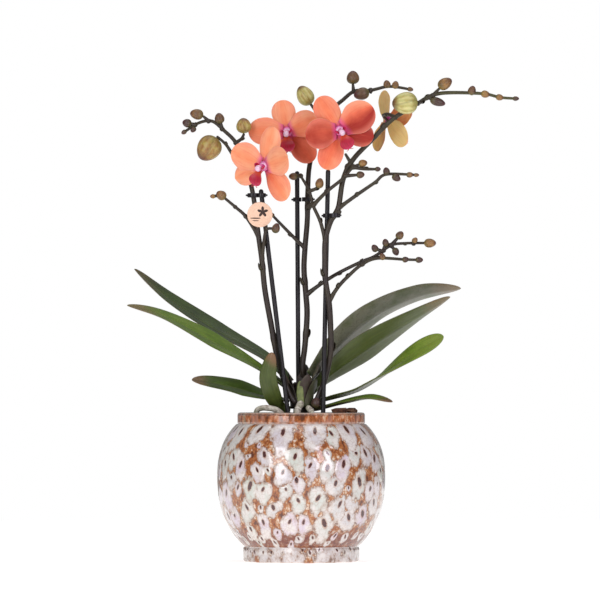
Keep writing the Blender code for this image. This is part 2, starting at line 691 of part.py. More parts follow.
def leaf_surface(points, half_width, rolls, fold, inner_face):
    """place(along, across) for a blade on its midrib, whose inner face looks along inner_face."""
    path = [on_plant(point) for point in smooth_path(points, 8)]
    leans_left = path[1].x < path[0].x

    def place(along, across):
        share = 1 - (1 - along) ** 1.25
        middle, forward = along_path(path, share)
        up = (inner_face - forward * inner_face.dot(forward)).normalized()
        side = up.cross(forward) if leans_left else forward.cross(up)
        if share < 0.5:
            roll = rolls[0] + (rolls[1] - rolls[0]) * share * 2
        else:
            roll = rolls[1] + (rolls[2] - rolls[1]) * (share * 2 - 1)
        roll = math.radians(roll)
        edge = side * math.cos(roll) + up * math.sin(roll)
        face = up * math.cos(roll) - side * math.sin(roll)
        width = half_width * MM * taper(share, LEAF_BASE, LEAF_WIDEST, 0.1)
        rise = math.sin(math.radians(fold)) * abs(across)
        return middle + edge * across * width + face * rise * width

    return place


def make_leaves(parts):
    for name, (points, half_width, rolls, fold) in LEAVES.items():
        inner_face = Vector(LEAF_FACES.get(name, (0, 0, 1)))
        place = leaf_surface(points, half_width, rolls, fold, inner_face)
        sheet(name, LEAF_ROWS, LEAF_COLUMNS, place, LEAF_THICKNESS, "leaf", parts)


def spike_path(points, steps=2):
    return [on_plant(point) for point in smooth_path(points, steps)]


def make_spike(name, plan, parts, cutters):
    """One spike: its stem, joined to its branches and the buds that grew on them."""
    stem = tube(name, spike_path(plan["stem"]), SPIKE_FOOT_RADIUS, SPIKE_TIP_RADIUS, 2, "stem", parts)
    grown = new_collection(f"{name} growth", cutters)
    for index, points in enumerate(plan["branches"]):
        path = spike_path(points)
        as_cutter(
            tube(f"{name}_branch_{index}", path, BRANCH_RADIUS, BRANCH_TIP_RADIUS, 1, "stem", grown)
        )
    for index, (middle, length, width, direction) in enumerate(plan["buds"]):
        piece = bud(f"{name}_bud_{index}", middle, length, width, direction, 6, "stem", grown)
        as_cutter(piece)
    add_boolean(stem, "UNION", grown)


def make_buds(parts):
    for name, (middle, length, width, direction) in BUDS.items():
        bud(name, middle, length, width, direction, 10, "bud", parts)


def stake_path(start, end):
    """A straight stake from its point in the bark to its top."""
    foot = on_plant(start)
    top = on_plant(end)
    slope = (top - foot) / (top.z - foot.z)
    return [foot - slope * STAKE_DEPTH, top]


def make_stakes(parts):
    for side, (start, end) in STAKES.items():
        path = stake_path(start, end)
        slope = (path[1] - path[0]).normalized()
        shoulder = path[0] + slope * STAKE_POINT
        mesh_path = [shoulder, path[1]]
        stake = tube(f"stake_{side}", mesh_path, STAKE_RADIUS, STAKE_RADIUS, 3, "black_plastic", parts)
        tip = bmesh.new()
        tip.from_mesh(stake.data)
        low = [face for face in tip.faces if (face.calc_center_median() - shoulder).length < GAP]
        moved = bmesh.ops.extrude_discrete_faces(tip, faces=low)["faces"]
        bmesh.ops.remove_doubles(tip, verts=tip.verts, dist=1e-6)
        for face in moved:
            for vertex in face.verts:
                vertex.co = path[0] + (vertex.co - shoulder) * 0.25
        tip.to_mesh(stake.data)
        tip.free()


def arc(middle, radius, start, end, steps):
    """Points on an arc in the XY plane, angles in radians."""
    return [
        (
            middle[0] + radius * math.cos(start + (end - start) * step / steps),
            middle[1] + radius * math.sin(start + (end - start) * step / steps),
        )
        for step in range(steps + 1)
    ]


def make_clip(side, spike_plan, parts):
    """A flat clip of two snap rings, one round the stake and one round the stem beside it."""
    level = POT_HEIGHT + CLIP_LEVELS[side] * MM
    stake = at_height(stake_path(*STAKES[side]), level)
    stem = at_height(spike_path(spike_plan["stem"], 4), level)
    between = (stem - stake).to_2d()
    distance = between.length
    stem_hole = SPIKE_FOOT_RADIUS + STEM_CLEARANCE
    stake_hole = STAKE_RADIUS + HOLE_CLEARANCE
    stem_slit = CLIP_SLIT / 2 / stem_hole
    stake_slit = CLIP_SLIT / 2 / stake_hole
    quarter = math.pi / 2
    outline = []
    outline += arc((distance, 0), stem_hole + CLIP_WALL, -quarter, -stem_slit, 5)
    outline += arc((distance, 0), stem_hole, -stem_slit, stem_slit - 2 * math.pi, 14)
    outline += arc((distance, 0), stem_hole + CLIP_WALL, stem_slit, quarter, 5)
    outline += arc((0, 0), stake_hole + CLIP_WALL, quarter, math.pi - stake_slit, 5)
    outline += arc((0, 0), stake_hole, math.pi - stake_slit, stake_slit - math.pi, 14)
    outline += arc((0, 0), stake_hole + CLIP_WALL, math.pi + stake_slit, 3 * quarter, 5)
    curve = bpy.data.curves.new(f"clip_{side}", "CURVE")
    curve.dimensions = "2D"
    curve.fill_mode = "BOTH"
    curve.extrude = CLIP_HEIGHT / 2
    spline = curve.splines.new("POLY")
    spline.points.add(len(outline) - 1)
    spline.use_cyclic_u = True
    for point, (x, y) in zip(spline.points, outline):
        point.co = (x, y, 0, 1)
    clip = add_object(f"clip_{side}", curve, "black_plastic", parts)
    clip.location = stake
    clip.rotation_euler.z = math.atan2(between.y, between.x)


def make_tag(parts, cutters):
    """A round card with a collar behind it that slides on the left stake."""
    level = POT_HEIGHT + TAG_LEVEL
    stake = at_height(stake_path(*STAKES["left"]), level)
    stem = at_height(spike_path(LEFT_SPIKE["stem"], 4), level)
    collar_radius = STAKE_RADIUS + HOLE_CLEARANCE + CLIP_WALL
    front = stake.y - collar_radius + TAG_THICKNESS * 0.7
    front = min(front, stem.y - SPIKE_FOOT_RADIUS - TAG_THICKNESS - GAP)
    mesh = bpy.data.meshes.new("tag")
    shape = bmesh.new()
    bmesh.ops.create_cone(
        shape, cap_ends=True, segments=36, radius1=TAG_RADIUS, radius2=TAG_RADIUS,
        depth=TAG_THICKNESS,
    )
    shape.to_mesh(mesh)
    shape.free()
    middle = ((stake.x + stem.x) / 2, front - TAG_THICKNESS / 2, level)
    mesh.transform(Matrix.Translation(middle) @ Matrix.Rotation(math.pi / 2, 4, "X"))
    tag = add_object("tag", mesh, "tag_card", parts)
    pieces = new_collection("Tag collar", cutters)
    neck = stake.y - collar_radius - front + TAG_THICKNESS / 2
    reach = max(neck, 0) + CLIP_WALL
    collar_mesh = bpy.data.meshes.new("tag_collar")
    collar = bmesh.new()
    bmesh.ops.create_cone(
        collar, cap_ends=True, segments=16, radius1=collar_radius, radius2=collar_radius,
        depth=TAG_COLLAR_HEIGHT,
    )
    for vertex in collar.verts:
        if vertex.co.y < -collar_radius * 0.7:
            vertex.co.y -= reach - CLIP_WALL
    collar.to_mesh(collar_mesh)
    collar.free()
    collar_mesh.transform(Matrix.Translation(stake))
    as_cutter(add_object("tag_collar", collar_mesh, "tag_card", pieces))
    add_boolean(tag, "UNION", pieces)
    bore = new_collection("Tag bore", cutters)
    path = stake_path(*STAKES["left"])
    slope = (path[1] - path[0]).normalized() * TAG_COLLAR_HEIGHT
    radius = STAKE_RADIUS + HOLE_CLEARANCE
    as_cutter(tube("tag_bore", [stake - slope, stake + slope], radius, radius, 3, "tag_card", bore))
    add_boolean(tag, "DIFFERENCE", bore)


def flower_frame(facing, turn):
    """The flower's outward, up and right directions, as someone looking at its face sees them."""
    out = Vector(facing).normalized()
    upright = (Vector((0, 0, 1)) - out * out.z).normalized()
    right = upright.cross(out)
    turn = math.radians(turn)
    up = upright * math.cos(turn) + right * math.sin(turn)
    return out, up, up.cross(out)


def make_tepal(name, middle, frame, shape, part, parts):
    """A petal or sepal: a thin blade that leaves the flower's middle at an angle from its top."""
    out, up, right = frame
    angle = math.radians(shape[0])
    length, width, reach = (size * MM * FLOWER_SCALE for size in shape[1:])
    away = up * math.cos(angle) + right * math.sin(angle)
    across_blade = right * math.cos(angle) - up * math.sin(angle)
    narrow, widest = OUTLINES[part]
    setback = SETBACKS.get(part, 0) * MM

    def place(along, across):
        share = 1 - (1 - along) ** 1.3
        half = width / 2 * taper(share, narrow, widest, TEPAL_TIP)
        forward = reach * share**2 - setback - across**2 * TEPAL_CURL
        return (
            middle
            + away * (TEPAL_START + share * length)
            + across_blade * across * half
            + out * forward
        )

    sheet(name, 5, 4, place, TEPAL_THICKNESS, "petal", parts)


def make_lip(name, middle, frame, parts, cutters):
    """The column, joined to the lip that hangs forward below it."""
    out, up, right = frame
    start = middle - out * 1.2 * MM
    end = middle + out * COLUMN_LENGTH
    column_path = [start, start.lerp(end, 0.5), end]
    column = tube(f"{name}_lip", column_path, COLUMN_RADIUS, COLUMN_RADIUS * 0.8, 1, "lip", parts)

    def place(along, across):
        drop = LIP_LENGTH * (0.1 + 0.9 * along)
        half = LIP_WIDTH / 2 * taper(along, 0.3, 0.5, 0.2)
        forward = COLUMN_LENGTH * (0.25 + 0.75 * math.sin(math.pi * 0.75 * along))
        return (
            middle
            - up * drop
            + right * across * half
            + out * (forward + abs(across) * LIP_THICKNESS)
        )

    pieces = new_collection(f"{name} lip blade", cutters)
    as_cutter(sheet(f"{name}_blade", 5, 4, place, LIP_THICKNESS, "lip", pieces))
    add_boolean(column, "UNION", pieces)


def make_flower(name, middle, facing, turn, blades, parts, cutters):
    centre = on_plant(middle)
    frame = flower_frame(facing, turn)
    for part, shape in blades.items():
        make_tepal(f"{name}_{part}", centre, frame, shape, part, parts)
    make_lip(name, centre, frame, parts, cutters)


def main():
    clear_scene()
    parts = new_collection("Potted orchid")
    cutters = new_collection("Cutters")
    make_glazed_pot(parts)
    make_grow_pot(parts, cutters)
    make_bark(parts, cutters)
    make_chips(parts)
    make_crown(parts)
    make_roots(parts)
    make_leaves(parts)
    make_spike("spike_left", LEFT_SPIKE, parts, cutters)
    make_spike("spike_middle", MIDDLE_SPIKE, parts, cutters)
    make_spike("spike_right", RIGHT_SPIKE, parts, cutters)
    make_buds(parts)
    make_stakes(parts)
    make_clip("left", LEFT_SPIKE, parts)
    make_clip("middle", MIDDLE_SPIKE, parts)
    make_clip("right", RIGHT_SPIKE, parts)
    make_tag(parts, cutters)
    for name, (middle, facing, turn, blades) in FLOWERS.items():
        make_flower(name, middle, facing, turn, blades, parts, cutters)


main()
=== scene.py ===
"""A moth orchid with three flower spikes in a round glazed pot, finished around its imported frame.

Metres, +Z up, the origin in the middle of the pot's underside, and the flowers face -Y.
"""

import json
import math
import random

import bmesh
import bpy
import numpy as np
from bpy.props import FloatProperty, FloatVectorProperty, PointerProperty
from mathutils import Matrix, Vector, noise

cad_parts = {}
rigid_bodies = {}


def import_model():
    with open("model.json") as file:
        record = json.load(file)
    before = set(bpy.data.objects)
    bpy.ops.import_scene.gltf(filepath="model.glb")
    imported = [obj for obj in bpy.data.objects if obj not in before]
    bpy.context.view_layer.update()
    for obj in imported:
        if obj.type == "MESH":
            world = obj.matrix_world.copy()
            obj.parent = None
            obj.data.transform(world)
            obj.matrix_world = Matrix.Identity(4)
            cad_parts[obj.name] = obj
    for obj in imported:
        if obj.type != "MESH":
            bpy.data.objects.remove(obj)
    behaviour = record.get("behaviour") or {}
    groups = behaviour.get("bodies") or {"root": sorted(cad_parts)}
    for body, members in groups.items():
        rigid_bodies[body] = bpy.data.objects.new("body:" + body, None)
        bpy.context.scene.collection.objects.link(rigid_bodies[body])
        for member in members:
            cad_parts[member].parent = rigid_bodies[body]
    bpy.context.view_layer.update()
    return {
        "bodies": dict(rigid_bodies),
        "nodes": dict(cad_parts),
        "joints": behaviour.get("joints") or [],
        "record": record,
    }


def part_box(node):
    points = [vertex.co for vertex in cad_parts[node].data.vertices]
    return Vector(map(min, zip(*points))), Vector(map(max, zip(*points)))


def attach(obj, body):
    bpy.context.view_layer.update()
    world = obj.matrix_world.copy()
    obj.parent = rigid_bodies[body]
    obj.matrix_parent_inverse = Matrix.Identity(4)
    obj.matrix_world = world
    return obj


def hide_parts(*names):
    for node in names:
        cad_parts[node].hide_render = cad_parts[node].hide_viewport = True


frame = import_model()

bl_info = {
    "name": "Potted orchid",
    "version": (1, 0, 0),
    "blender": (4, 5, 0),
    "location": "3D View > Sidebar > Orchid",
    "description": "A moth orchid in flower, with its stakes and tag, in a round glazed pot",
    "category": "Add Mesh",
}

POT_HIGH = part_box("ceramic_pot")[1]
MM = 0.001
GAP = 0.3 * MM  # left between pieces that touch
BODY = "root"

# Glazed pot
GROOVE = 1.0 * MM  # above the foot ring and below the rim band
BELLY_LEVEL = 0.58  # share of the height where the belly is widest
BELLY_SQUARENESS = 2.3  # 2 is an ellipse
FLOOR = 7 * MM
POT_SIDES = 480
POT_SOFTNESS = 2.2 * MM  # how far its corners are rounded

# Grow pot and bark
GROW_POT_RIM = 45.1 * MM
GROW_POT_DROP = 6 * MM
GROW_POT_TAPER = 0.72
GROW_POT_LIP = 2 * MM
GROW_POT_LIP_HEIGHT = 4 * MM
GROW_POT_WALL = 1.2 * MM
GROW_POT_SIDES = 96
BARK_MOUND = 3.5 * MM
BED_RINGS = 16
BED_SIDES = 72
CHIPS_ON_TOP = 150
CHIP_CORNERS = 22
CHIP_WEAR = 0.35 * MM  # how far a chip's edges are worn off, and how rough it is
CHIP_SEED = 1  # of the noise that roughens the chips
CROWN_CLEAR = 9 * MM  # no loose chips nearer to the axis
GOLDEN_ANGLE = 2.399963  # radians, spreads the chips evenly
CHIP_SIZES = (13 * MM, 7.5 * MM, 5.5 * MM)

# Crown
CROWN_RADIUS = 6.6 * MM
CROWN_DEPTH = 16 * MM
CROWN_TOP = 29 * MM
CROWN_SIDES = 40

# Flowers and buds
TEPAL_START = 2.9 * MM  # from the flower's axis
SETBACKS = {"dorsal_sepal": 1.8, "sepal_left": 1.8, "sepal_right": 3.6}  # mm behind the petals
OUTLINES = {  # width at the claw over the greatest width, and where it is widest
    "dorsal_sepal": (0.55, 0.55),
    "petal_left": (0.5, 0.5),
    "petal_right": (0.5, 0.5),
    "sepal_left": (0.36, 0.56),
    "sepal_right": (0.36, 0.56),
}
COLUMN_LENGTH = 7.5 * MM
LIP_WIDTH = 12 * MM
BUD_SEAM = 0.3 * MM
BUD_STRIPES = 12
EGG_TAPER = 0.16  # share by which a bud narrows from its middle to its tip
SEAM_SPREAD = 0.16  # how far a seam reaches to each side
CAP_LEANS = [math.radians(lean) for lean in (25, 50, 75)]  # the rows that round a tube's end

# Stakes, clips and tag
STAKE_DEPTH = 70 * MM  # below the rim plane
HOLE_CLEARANCE = 0.5 * MM
STEM_CLEARANCE = 1.2 * MM
CLIP_WALL = 1.1 * MM
CLIP_HEIGHT = 3.4 * MM
CLIP_SLIT = 1.2 * MM
CLIP_STEPS = 40
STAKE_POINT = 8 * MM
TAG_THICKNESS = 0.8 * MM
TAG_COLLAR_HEIGHT = 4 * MM
COLLAR_SIDES = 40
INK_THICKNESS = 0.06 * MM

# Stage, in metres and watts
FLOOR_RADIUS = 1.3
FLOOR_SIDES = 96
FLOOR_LEVEL = -0.2 * MM  # under the pot's foot
LIT_POINT = (0, 0, 0.18)
SOFTBOXES = {
    "left_softbox": ((-0.98, -1.72, 0.72), (0.8, 1.5), 18, "F8FBFF"),
    "right_softbox": ((1.12, -1.66, 0.74), (0.7, 1.1), 13, "F4F0FF"),
    "top_softbox": ((0.1, 0.1, 2.1), (1.6, 1.6), 13, "FFFFFF"),
}
FLOOR_GLOW = 0.62
ROOM_LIGHT = 0.22
BACKDROP_LIGHT = 1.0
ROOM_SHEEN = 0.3  # how bright the white room is in a reflection
CAMERA_PLACE = (-0.001, -4, 0.14)
CAMERA_TARGET = (-0.001, 0, 0.2142)
CAMERA_LENS = 292.7
CAMERA_SENSOR = 36

# Points on the plant are in millimetres from the middle of the pot's rim plane.
# Leaves: midrib from the crown out, half width, roll at base, middle and tip in degrees, fold,
# tone of the upper face from dark to yellow green, mauve of the lower face, brown of the tip.
LEAVES = {
    "leaf_left_upper": (
        ((-10, 6, 25), (-28, 13, 43.5), (-68, 24, 66), (-110, 29, 93.5), (-138, 31, 118.4)),
        14.5, (-8, -18, -14), 12, 0.15, 0.5, 0.35),
    "leaf_left_middle": (
        ((-9, 3, 17), (-30, -1, 33), (-70, -12, 56), (-112, -19, 78), (-142, -23, 87.3)),
        15.5, (-20, -26, -16), 10, 0.62, 0.4, 0.7),
    "leaf_left_low": (
        ((-9.5, 1, 9), (-30, 0, 13), (-55, -4, 20), (-75, -8, 24), (-89.5, -10, 26.6)),
        13.5, (-6, -30, -24), 10, 0.35, 0.4, 0.9),
    "leaf_left_front": (
        ((-9, -5, 1.5), (-17, -9, 4), (-23, -17, 12), (-27.5, -23, 29), (-23.5, -27, 49)),
        7.5, (0, 0, 0), 16, 0.75, 0.0, 1.0),
    "leaf_right_upper": (
        ((8.5, 4, 29), (27, 10, 52), (60, 13, 80), (97, 12, 96.5), (131, 4, 102)),
        18, (56, 30, 16), 10, 0.3, 0.8, 0.5),
    "leaf_right_middle": (
        ((9.5, 4, 18), (22, 7.5, 30), (38, 6, 42), (60, 0, 57), (90, -5, 75.5), (122, -8, 94.6)),
        15, (52, 34, 14), 10, 0.3, 0.1, 0.6),
    "leaf_right_twisted": (
        ((9.5, 5.5, 8.5), (26, 5, 12), (47, -3, 18.5), (66, -11, 30), (92, -18, 48), (116, -24, 62.3)),
        14.5, (8, -12, -58), 8, 0.8, 0.2, 0.1),
    "leaf_right_low": (
        ((9.5, 2, 1.5), (22, 1, 5), (38, -6, 9), (56, -13, 12), (74.5, -18, 8.5)),
        8, (-4, -14, -14), 12, 0.7, 0.2, 1.0),
}
LEAF_FACES = {"leaf_left_front": (0.2, 1, 0.1)}  # the upright leaf faces back; the rest face up
LEAF_BASE = 0.45
LEAF_WIDEST = 0.5

# Feet of leaves round the crown: direction in degrees, lower and upper end, half spread in degrees,
# how far each stands off the crown and flares at its top, and tone from pale green to dark brown.
SHEATHS = (
    (-97, 4, 26, 30, 1.8, 0.6, 0.22),
    (-60, 8, 31, 58, 0.8, 3.5, 0.62),
    (-24, 4, 28, 54, 2.4, 4.5, 0.44),
    (180, 8, 33, 60, 0.8, 3.0, 0.72),
    (-146, 3, 24, 44, 2.2, 3.0, 0.85),
    (64, 8, 31, 66, 0.8, 2.0, 0.6),
    (118, 4, 25, 56, 1.8, 2.0, 0.75),
    (-12, 12, 43, 40, 0.8, 9.5, 0.55),
    (78, 10, 40, 50, 0.8, 5.0, 0.7),
    (186, 10, 36, 40, 0.8, 9.0, 0.6),
)

# Spikes: stem, branches, small buds as middle, length, width and direction of the tip, where the
# stem has knots, how green its upper half is, and the swollen foot of the stem that has one.
SPIKES = {
    "spike_left": {
        "stem": (
            (-6, -9.4, 9), (-11, -9.8, 18), (-19, -9.5, 43), (-24.8, -12.5, 73), (-29.7, -15, 100.4),
            (-32.1, -16, 124.2), (-35.4, -16, 147.9), (-38.7, -15.5, 174.2), (-42.3, -13, 190.6),
            (-47.7, -10, 207), (-53.5, -8, 220.9), (-63.3, -7, 231), (-73.1, -7, 238.6),
            (-84, -8.5, 237), (-95, -10, 230)),
        "branches": (
            ((-32, -16, 125.5), (-30.6, -20.6, 138), (-28.5, -21.8, 149), (-22.5, -22, 150)),
            ((-35.2, -16, 144.7), (-44.9, -17, 159.7), (-53.5, -17, 167.6), (-65.4, -17, 177.5)),
            ((-46, -10.6, 203), (-54.3, -11, 208.6), (-61.4, -10.6, 219), (-68.5, -9.8, 225.5)),
            ((-53.5, -8, 220.9), (-49, -8.6, 224), (-47.1, -9, 227.5)),
            ((-41.8, -13.2, 189), (-34.5, -17.5, 195), (-30.1, -30, 200.7)),
            ((-64.8, -7, 232.3), (-67, -7, 240.9)),
            ((-76, -7.4, 238.8), (-79.8, -8.3, 242.2)),
            ((-87, -9, 235.6), (-93.6, -9, 236.9)),
            ((-65.4, -17, 177.5), (-72.3, -17, 176.6))),
        "buds": (
            ((-20.6, -22, 150.4), 8.4, 6.6, (0.3, 0, 1)),
            ((-65.4, -17, 177.5), 8.8, 7.8, (-0.8, 0, 0.5)),
            ((-72.3, -17, 176.6), 4.4, 3.6, (-1, 0, 0)),
            ((-67, -7, 240.9), 9, 8, (-0.2, 0, 1)),
            ((-93.6, -9, 236.9), 7.6, 7, (-1, 0, 0.3)),
            ((-88.4, -9.6, 231.6), 5.4, 4.6, (-0.6, 0, -0.8)),
            ((-96, -10, 229.4), 4.6, 3.8, (-0.8, 0, -0.5))),
        "knots": (0.2, 0.42, 0.57, 0.74), "green": 0.25},
    "spike_middle": {
        "stem": (
            (4, 10, 16), (2.8, 9.4, 27), (1, 7.4, 37), (3.1, 6, 55.3), (4.8, 5.5, 80), (3.9, 5.5, 96.3),
            (2.3, 5.5, 117), (3.1, 5.5, 135), (5, 5.5, 158), (5.4, 5.5, 181.6), (6.9, 6.5, 203),
            (13, 8, 227), (25, 8, 248), (34.3, 6, 256.8), (44, 5, 264), (57, 4, 264.6),
            (70.4, 4, 267.6), (80, 4, 267), (88.4, 4, 265.5)),
        "branches": (
            ((3.1, 5.5, 135), (-8, 3, 145.6), (-23.9, -2, 161.9)),
            ((3.9, 5.5, 96.3), (15.4, 3, 104.9), (30, -1, 114), (49, -7, 123.3), (60, -8.5, 127.8),
             (73.4, -9, 136.7), (84, -9, 138.4), (101, -9, 138.7)),
            ((27.4, 7.6, 250.4), (24, 0, 247), (26.4, -13, 238.6), (31.2, -21.1, 230.6)),
            ((10.6, 7.4, 219), (3, 7.4, 228.6), (-5, 4, 233.4), (-11, -1.7, 231)),
            ((18, 8.2, 238), (13, 7.4, 246), (8.1, 6.5, 252.8)),
            ((43, 5, 263.8), (42.5, 5, 269.4)),
            ((57, 4, 264.6), (57.6, 0, 263.6), (56.7, -1.8, 263.1)),
            ((66, -8.8, 132), (60.6, -8.5, 134.2)),
            ((73.4, -9, 136.7), (77, -9, 132.4)),
            ((67.4, -8.9, 132.8), (69, -9, 138.6)),
            ((92, -9.2, 138.6), (93, -9.5, 140.8)),
            ((73.4, -9, 136.7), (80.7, -9, 144.7))),
        "buds": (
            ((-23.9, -2, 161.9), 4.4, 3.6, (-0.7, 0, 0.7)),
            ((105.4, -9, 138.6), 10, 7.4, (1, 0, 0)),
            ((93, -9.5, 140.8), 5.4, 4.6, (0.6, 0, 0.8)),
            ((80.7, -9, 145), 7.4, 6.4, (0.6, 0, 0.8)),
            ((77.4, -9, 131.6), 6.8, 5.6, (0.4, 0, -0.9)),
            ((60.2, -8.5, 134.4), 6.6, 5.6, (-0.5, 0, 0.8)),
            ((69, -9, 139), 6.4, 5.4, (-0.2, 0, 1)),
            ((70.4, 4, 269.6), 6.8, 6, (-0.2, 0, 1)),
            ((77.4, 4, 269), 6.6, 5.8, (0.2, 0, 1)),
            ((89.6, 4, 265.4), 5, 3.8, (1, 0, -0.2))),
        "knots": (0.16, 0.3, 0.5, 0.66), "green": 0.2},
    "spike_right": {
        "stem": (
            (11, -7.6, 5), (13.6, -7.4, 12), (19.2, -5, 26.6), (24, -9, 49), (24, -14, 68),
            (22.8, -16.5, 89), (19.8, -16.6, 108), (19.3, -16.3, 125), (19.8, -16, 141.4),
            (24, -16, 156), (30.2, -16, 166.8), (34.3, -14, 190.6), (42.5, -11, 207),
            (58.9, -10, 224.2), (73.6, -12, 239), (94.7, -14, 252.4), (108, -14, 259.6),
            (122.8, -13, 261.6), (149, -12, 260.8), (162.7, -12, 257.8), (175.7, -12, 256.8)),
        "branches": (
            ((19.8, -16, 140), (15.6, -14.6, 156), (9.7, -13, 169.3), (6.6, -13, 181), (-1, -13, 194.4)),
            ((9.7, -13, 169.3), (20.3, -18.4, 179.9), (33.5, -19.4, 190.6), (42.5, -17.5, 200.4),
             (49.9, -16, 203.3)),
            ((30.2, -16, 166.8), (45, -18, 177.4), (60.1, -20, 187.7), (69.5, -21, 194.4),
             (93.3, -21, 193.9)),
            ((22.9, -16.3, 91.4), (30, -15.4, 102.4), (37.6, -14.4, 110.6), (49, -14.8, 120.6),
             (62, -15, 126), (85, -15, 125), (96, -15, 124.7)),
            ((-0.6, -13, 193.4), (-6.7, -13, 193)),
            ((6.6, -13, 181), (12, -14, 183), (15, -14, 186.8)),
            ((36, -19.2, 193.2), (47.9, -17, 194.2)),
            ((42.5, -17.5, 200.4), (52, -17, 199), (62, -17, 198.8)),
            ((95.4, -14, 252.8), (98.6, -18, 254), (96.2, -21.8, 253.2)),
            ((77, -12.2, 241.4), (71, -2, 244.6), (67.6, 9, 244), (70.9, 16.8, 240.8)),
            ((108, -14, 259.6), (112.4, -14, 264.4)),
            ((104, -14, 257.6), (111, -14, 254.4)),
            ((40.6, -11.6, 204), (36.4, -12.4, 211))),
        "buds": (
            ((-6.7, -13, 193), 7, 6, (-1, 0, 0)),
            ((15, -14, 187.4), 8.6, 6.8, (0.2, 0, 1)),
            ((50.4, -16, 203.6), 7.4, 6.2, (0.9, 0, 0.2)),
            ((48.4, -17, 194.2), 6.8, 5.8, (0.9, 0, 0.1)),
            ((62.6, -17, 198.8), 4.8, 4, (1, 0, 0)),
            ((69.5, -21, 197), 6.4, 5.6, (-0.2, 0, 1)),
            ((77.6, -21, 191.6), 7.6, 6, (0.8, 0, -0.5)),
            ((88.7, -21, 194), 6, 4.6, (1, 0, 0)),
            ((94, -21, 193.8), 4.6, 3.2, (1, 0, 0)),
            ((66.3, -15, 127.4), 6, 5, (-0.3, 0, 0.9)),
            ((85.2, -15, 125), 5.6, 4.8, (1, 0, 0.2)),
            ((96.4, -15, 124.7), 6.4, 5, (1, 0, 0)),
            ((111.6, -14, 254), 13, 7, (1, 0, -0.3)),
            ((139.7, -12.4, 263.4), 8, 6.6, (0.3, 0, 1)),
            ((150.7, -12, 260.4), 7.4, 6, (1, 0, -0.2)),
            ((162.4, -12, 257.8), 6.6, 5.2, (1, 0, -0.2)),
            ((175.6, -12, 256.8), 5.4, 3.8, (1, 0, 0))),
        "knots": (0.14, 0.31, 0.45, 0.56, 0.68, 0.8), "green": 0.55,
        "swelling": ((12.4, -7.6, 8), 9.6, 8.4, (0.2, 0, 1))},
}

# Large buds: middle, length, width, direction of the tip, and how much mauve brown covers them.
BUDS = {
    "bud_left_large": ((-75.8, -11, 216), 22, 19.5, (-0.6, -0.1, -0.8), 0.4),
    "bud_left_round": ((-47.1, -9, 234.8), 12.6, 12.2, (-0.1, 0, 1), 0.35),
    "bud_left_end": ((-85.6, -8.6, 244.2), 11, 8.6, (-1, 0, 0.2), 0.7),
    "bud_middle_top": ((3.1, 6, 260.4), 17.4, 13.6, (-0.5, 0, 0.85), 0.15),
    "bud_middle_upper": ((42.5, 5, 275.2), 11, 10.4, (0, 0, 1), 0.8),
    "bud_middle_side": ((49.4, -3.4, 261.2), 13, 10, (-1, -0.2, -0.3), 0.9),
    "bud_right_upper": ((117.6, -14, 269), 12.6, 9.4, (0.8, 0, 0.5), 0.6),
    "bud_right_large": ((84.6, -23.3, 252.4), 21, 18, (-1, -0.1, -0.05), 0.05),
}

# Flowers: middle, direction faced, turn of the whole flower clockwise in degrees, then for each
# blade its angle from the flower's top, length, greatest width, forward reach of its tip, its tone
# from salmon to deep coral at the base and at the tip, which is partly painted shade, and how much
# the tone rises across it, which paints shade on one side of the blade.
FLOWERS = {
    "flower_left": ((-31.3, -32, 200.4), (-0.5, -0.85, -0.12), 17, {
        "dorsal_sepal": (3, 31, 19, 1, 0.15, 0.1, -0.08),
        "petal_left": (-80, 27.5, 24, 3, 0.15, 0.15, 0.0),
        "petal_right": (59, 27, 24, 9, 0.1, 0.1, 0.05),
        "sepal_left": (-126, 26, 19, 2, 0.25, 0.05, 0.05),
        "sepal_right": (127, 31, 21, 3, 0.6, 0.08, 0.1)}),
    "flower_back": ((-11.6, -4, 229.9), (-0.12, -0.98, -0.1), -7, {
        "dorsal_sepal": (-4, 23.5, 20, 0, 0.1, 0.15, 0.05),
        "petal_left": (-81, 29, 23, 2, 0.25, 0.3, -0.05),
        "petal_right": (72, 25, 22, 3, 0.3, 0.25, 0.15),
        "sepal_left": (-142, 22, 16, -2, 0.5, 0.5, 0.0),
        "sepal_right": (146, 29, 20, 1, 0.95, 0.55, 0.1)}),
    "flower_front": ((31.8, -23.4, 229.9), (0.14, -0.98, -0.12), -26, {
        "dorsal_sepal": (-8, 29.5, 21, 0, 0.3, 0.35, -0.08),
        "petal_left": (-72, 27, 25, 9, 0.7, 0.85, -0.1),
        "petal_right": (79, 30, 27, 2, 0.95, 0.65, 0.7),
        "sepal_left": (-134, 31, 21, 0, 0.75, 0.3, 0.15),
        "sepal_right": (127, 26, 20, 0, 1.3, 1.0, -0.15)}),
    "flower_right": ((72.8, 18, 240.6), (0.8, 0.5, -0.1), 12, {
        "dorsal_sepal": (10, 23.5, 17, 0, 0.0, -0.1, 0.0),
        "petal_left": (-88, 20, 20, 8, 0.8, 0.6, 0.0),
        "petal_right": (78, 22, 22, 12, 0.7, 0.5, 0.1),
        "sepal_left": (-136, 33, 19, 3, 0.3, 0.05, 0.0),
        "sepal_right": (147, 24.5, 18, 0, 0.6, 0.35, 0.1)}),
}

# Stakes: foot at the rim plane, top.
STAKES = {
    "left": ((-10.9, -15, 0), (-33, -17, 182.4)),
    "middle": ((-2.2, 11.8, 0), (-3.4, 10, 198.4)),
    "right": ((17.9, -12, 0), (22, -11, 198.8)),
}
CLIP_LEVELS = {"left": 177.5, "middle": 175, "right": 161}

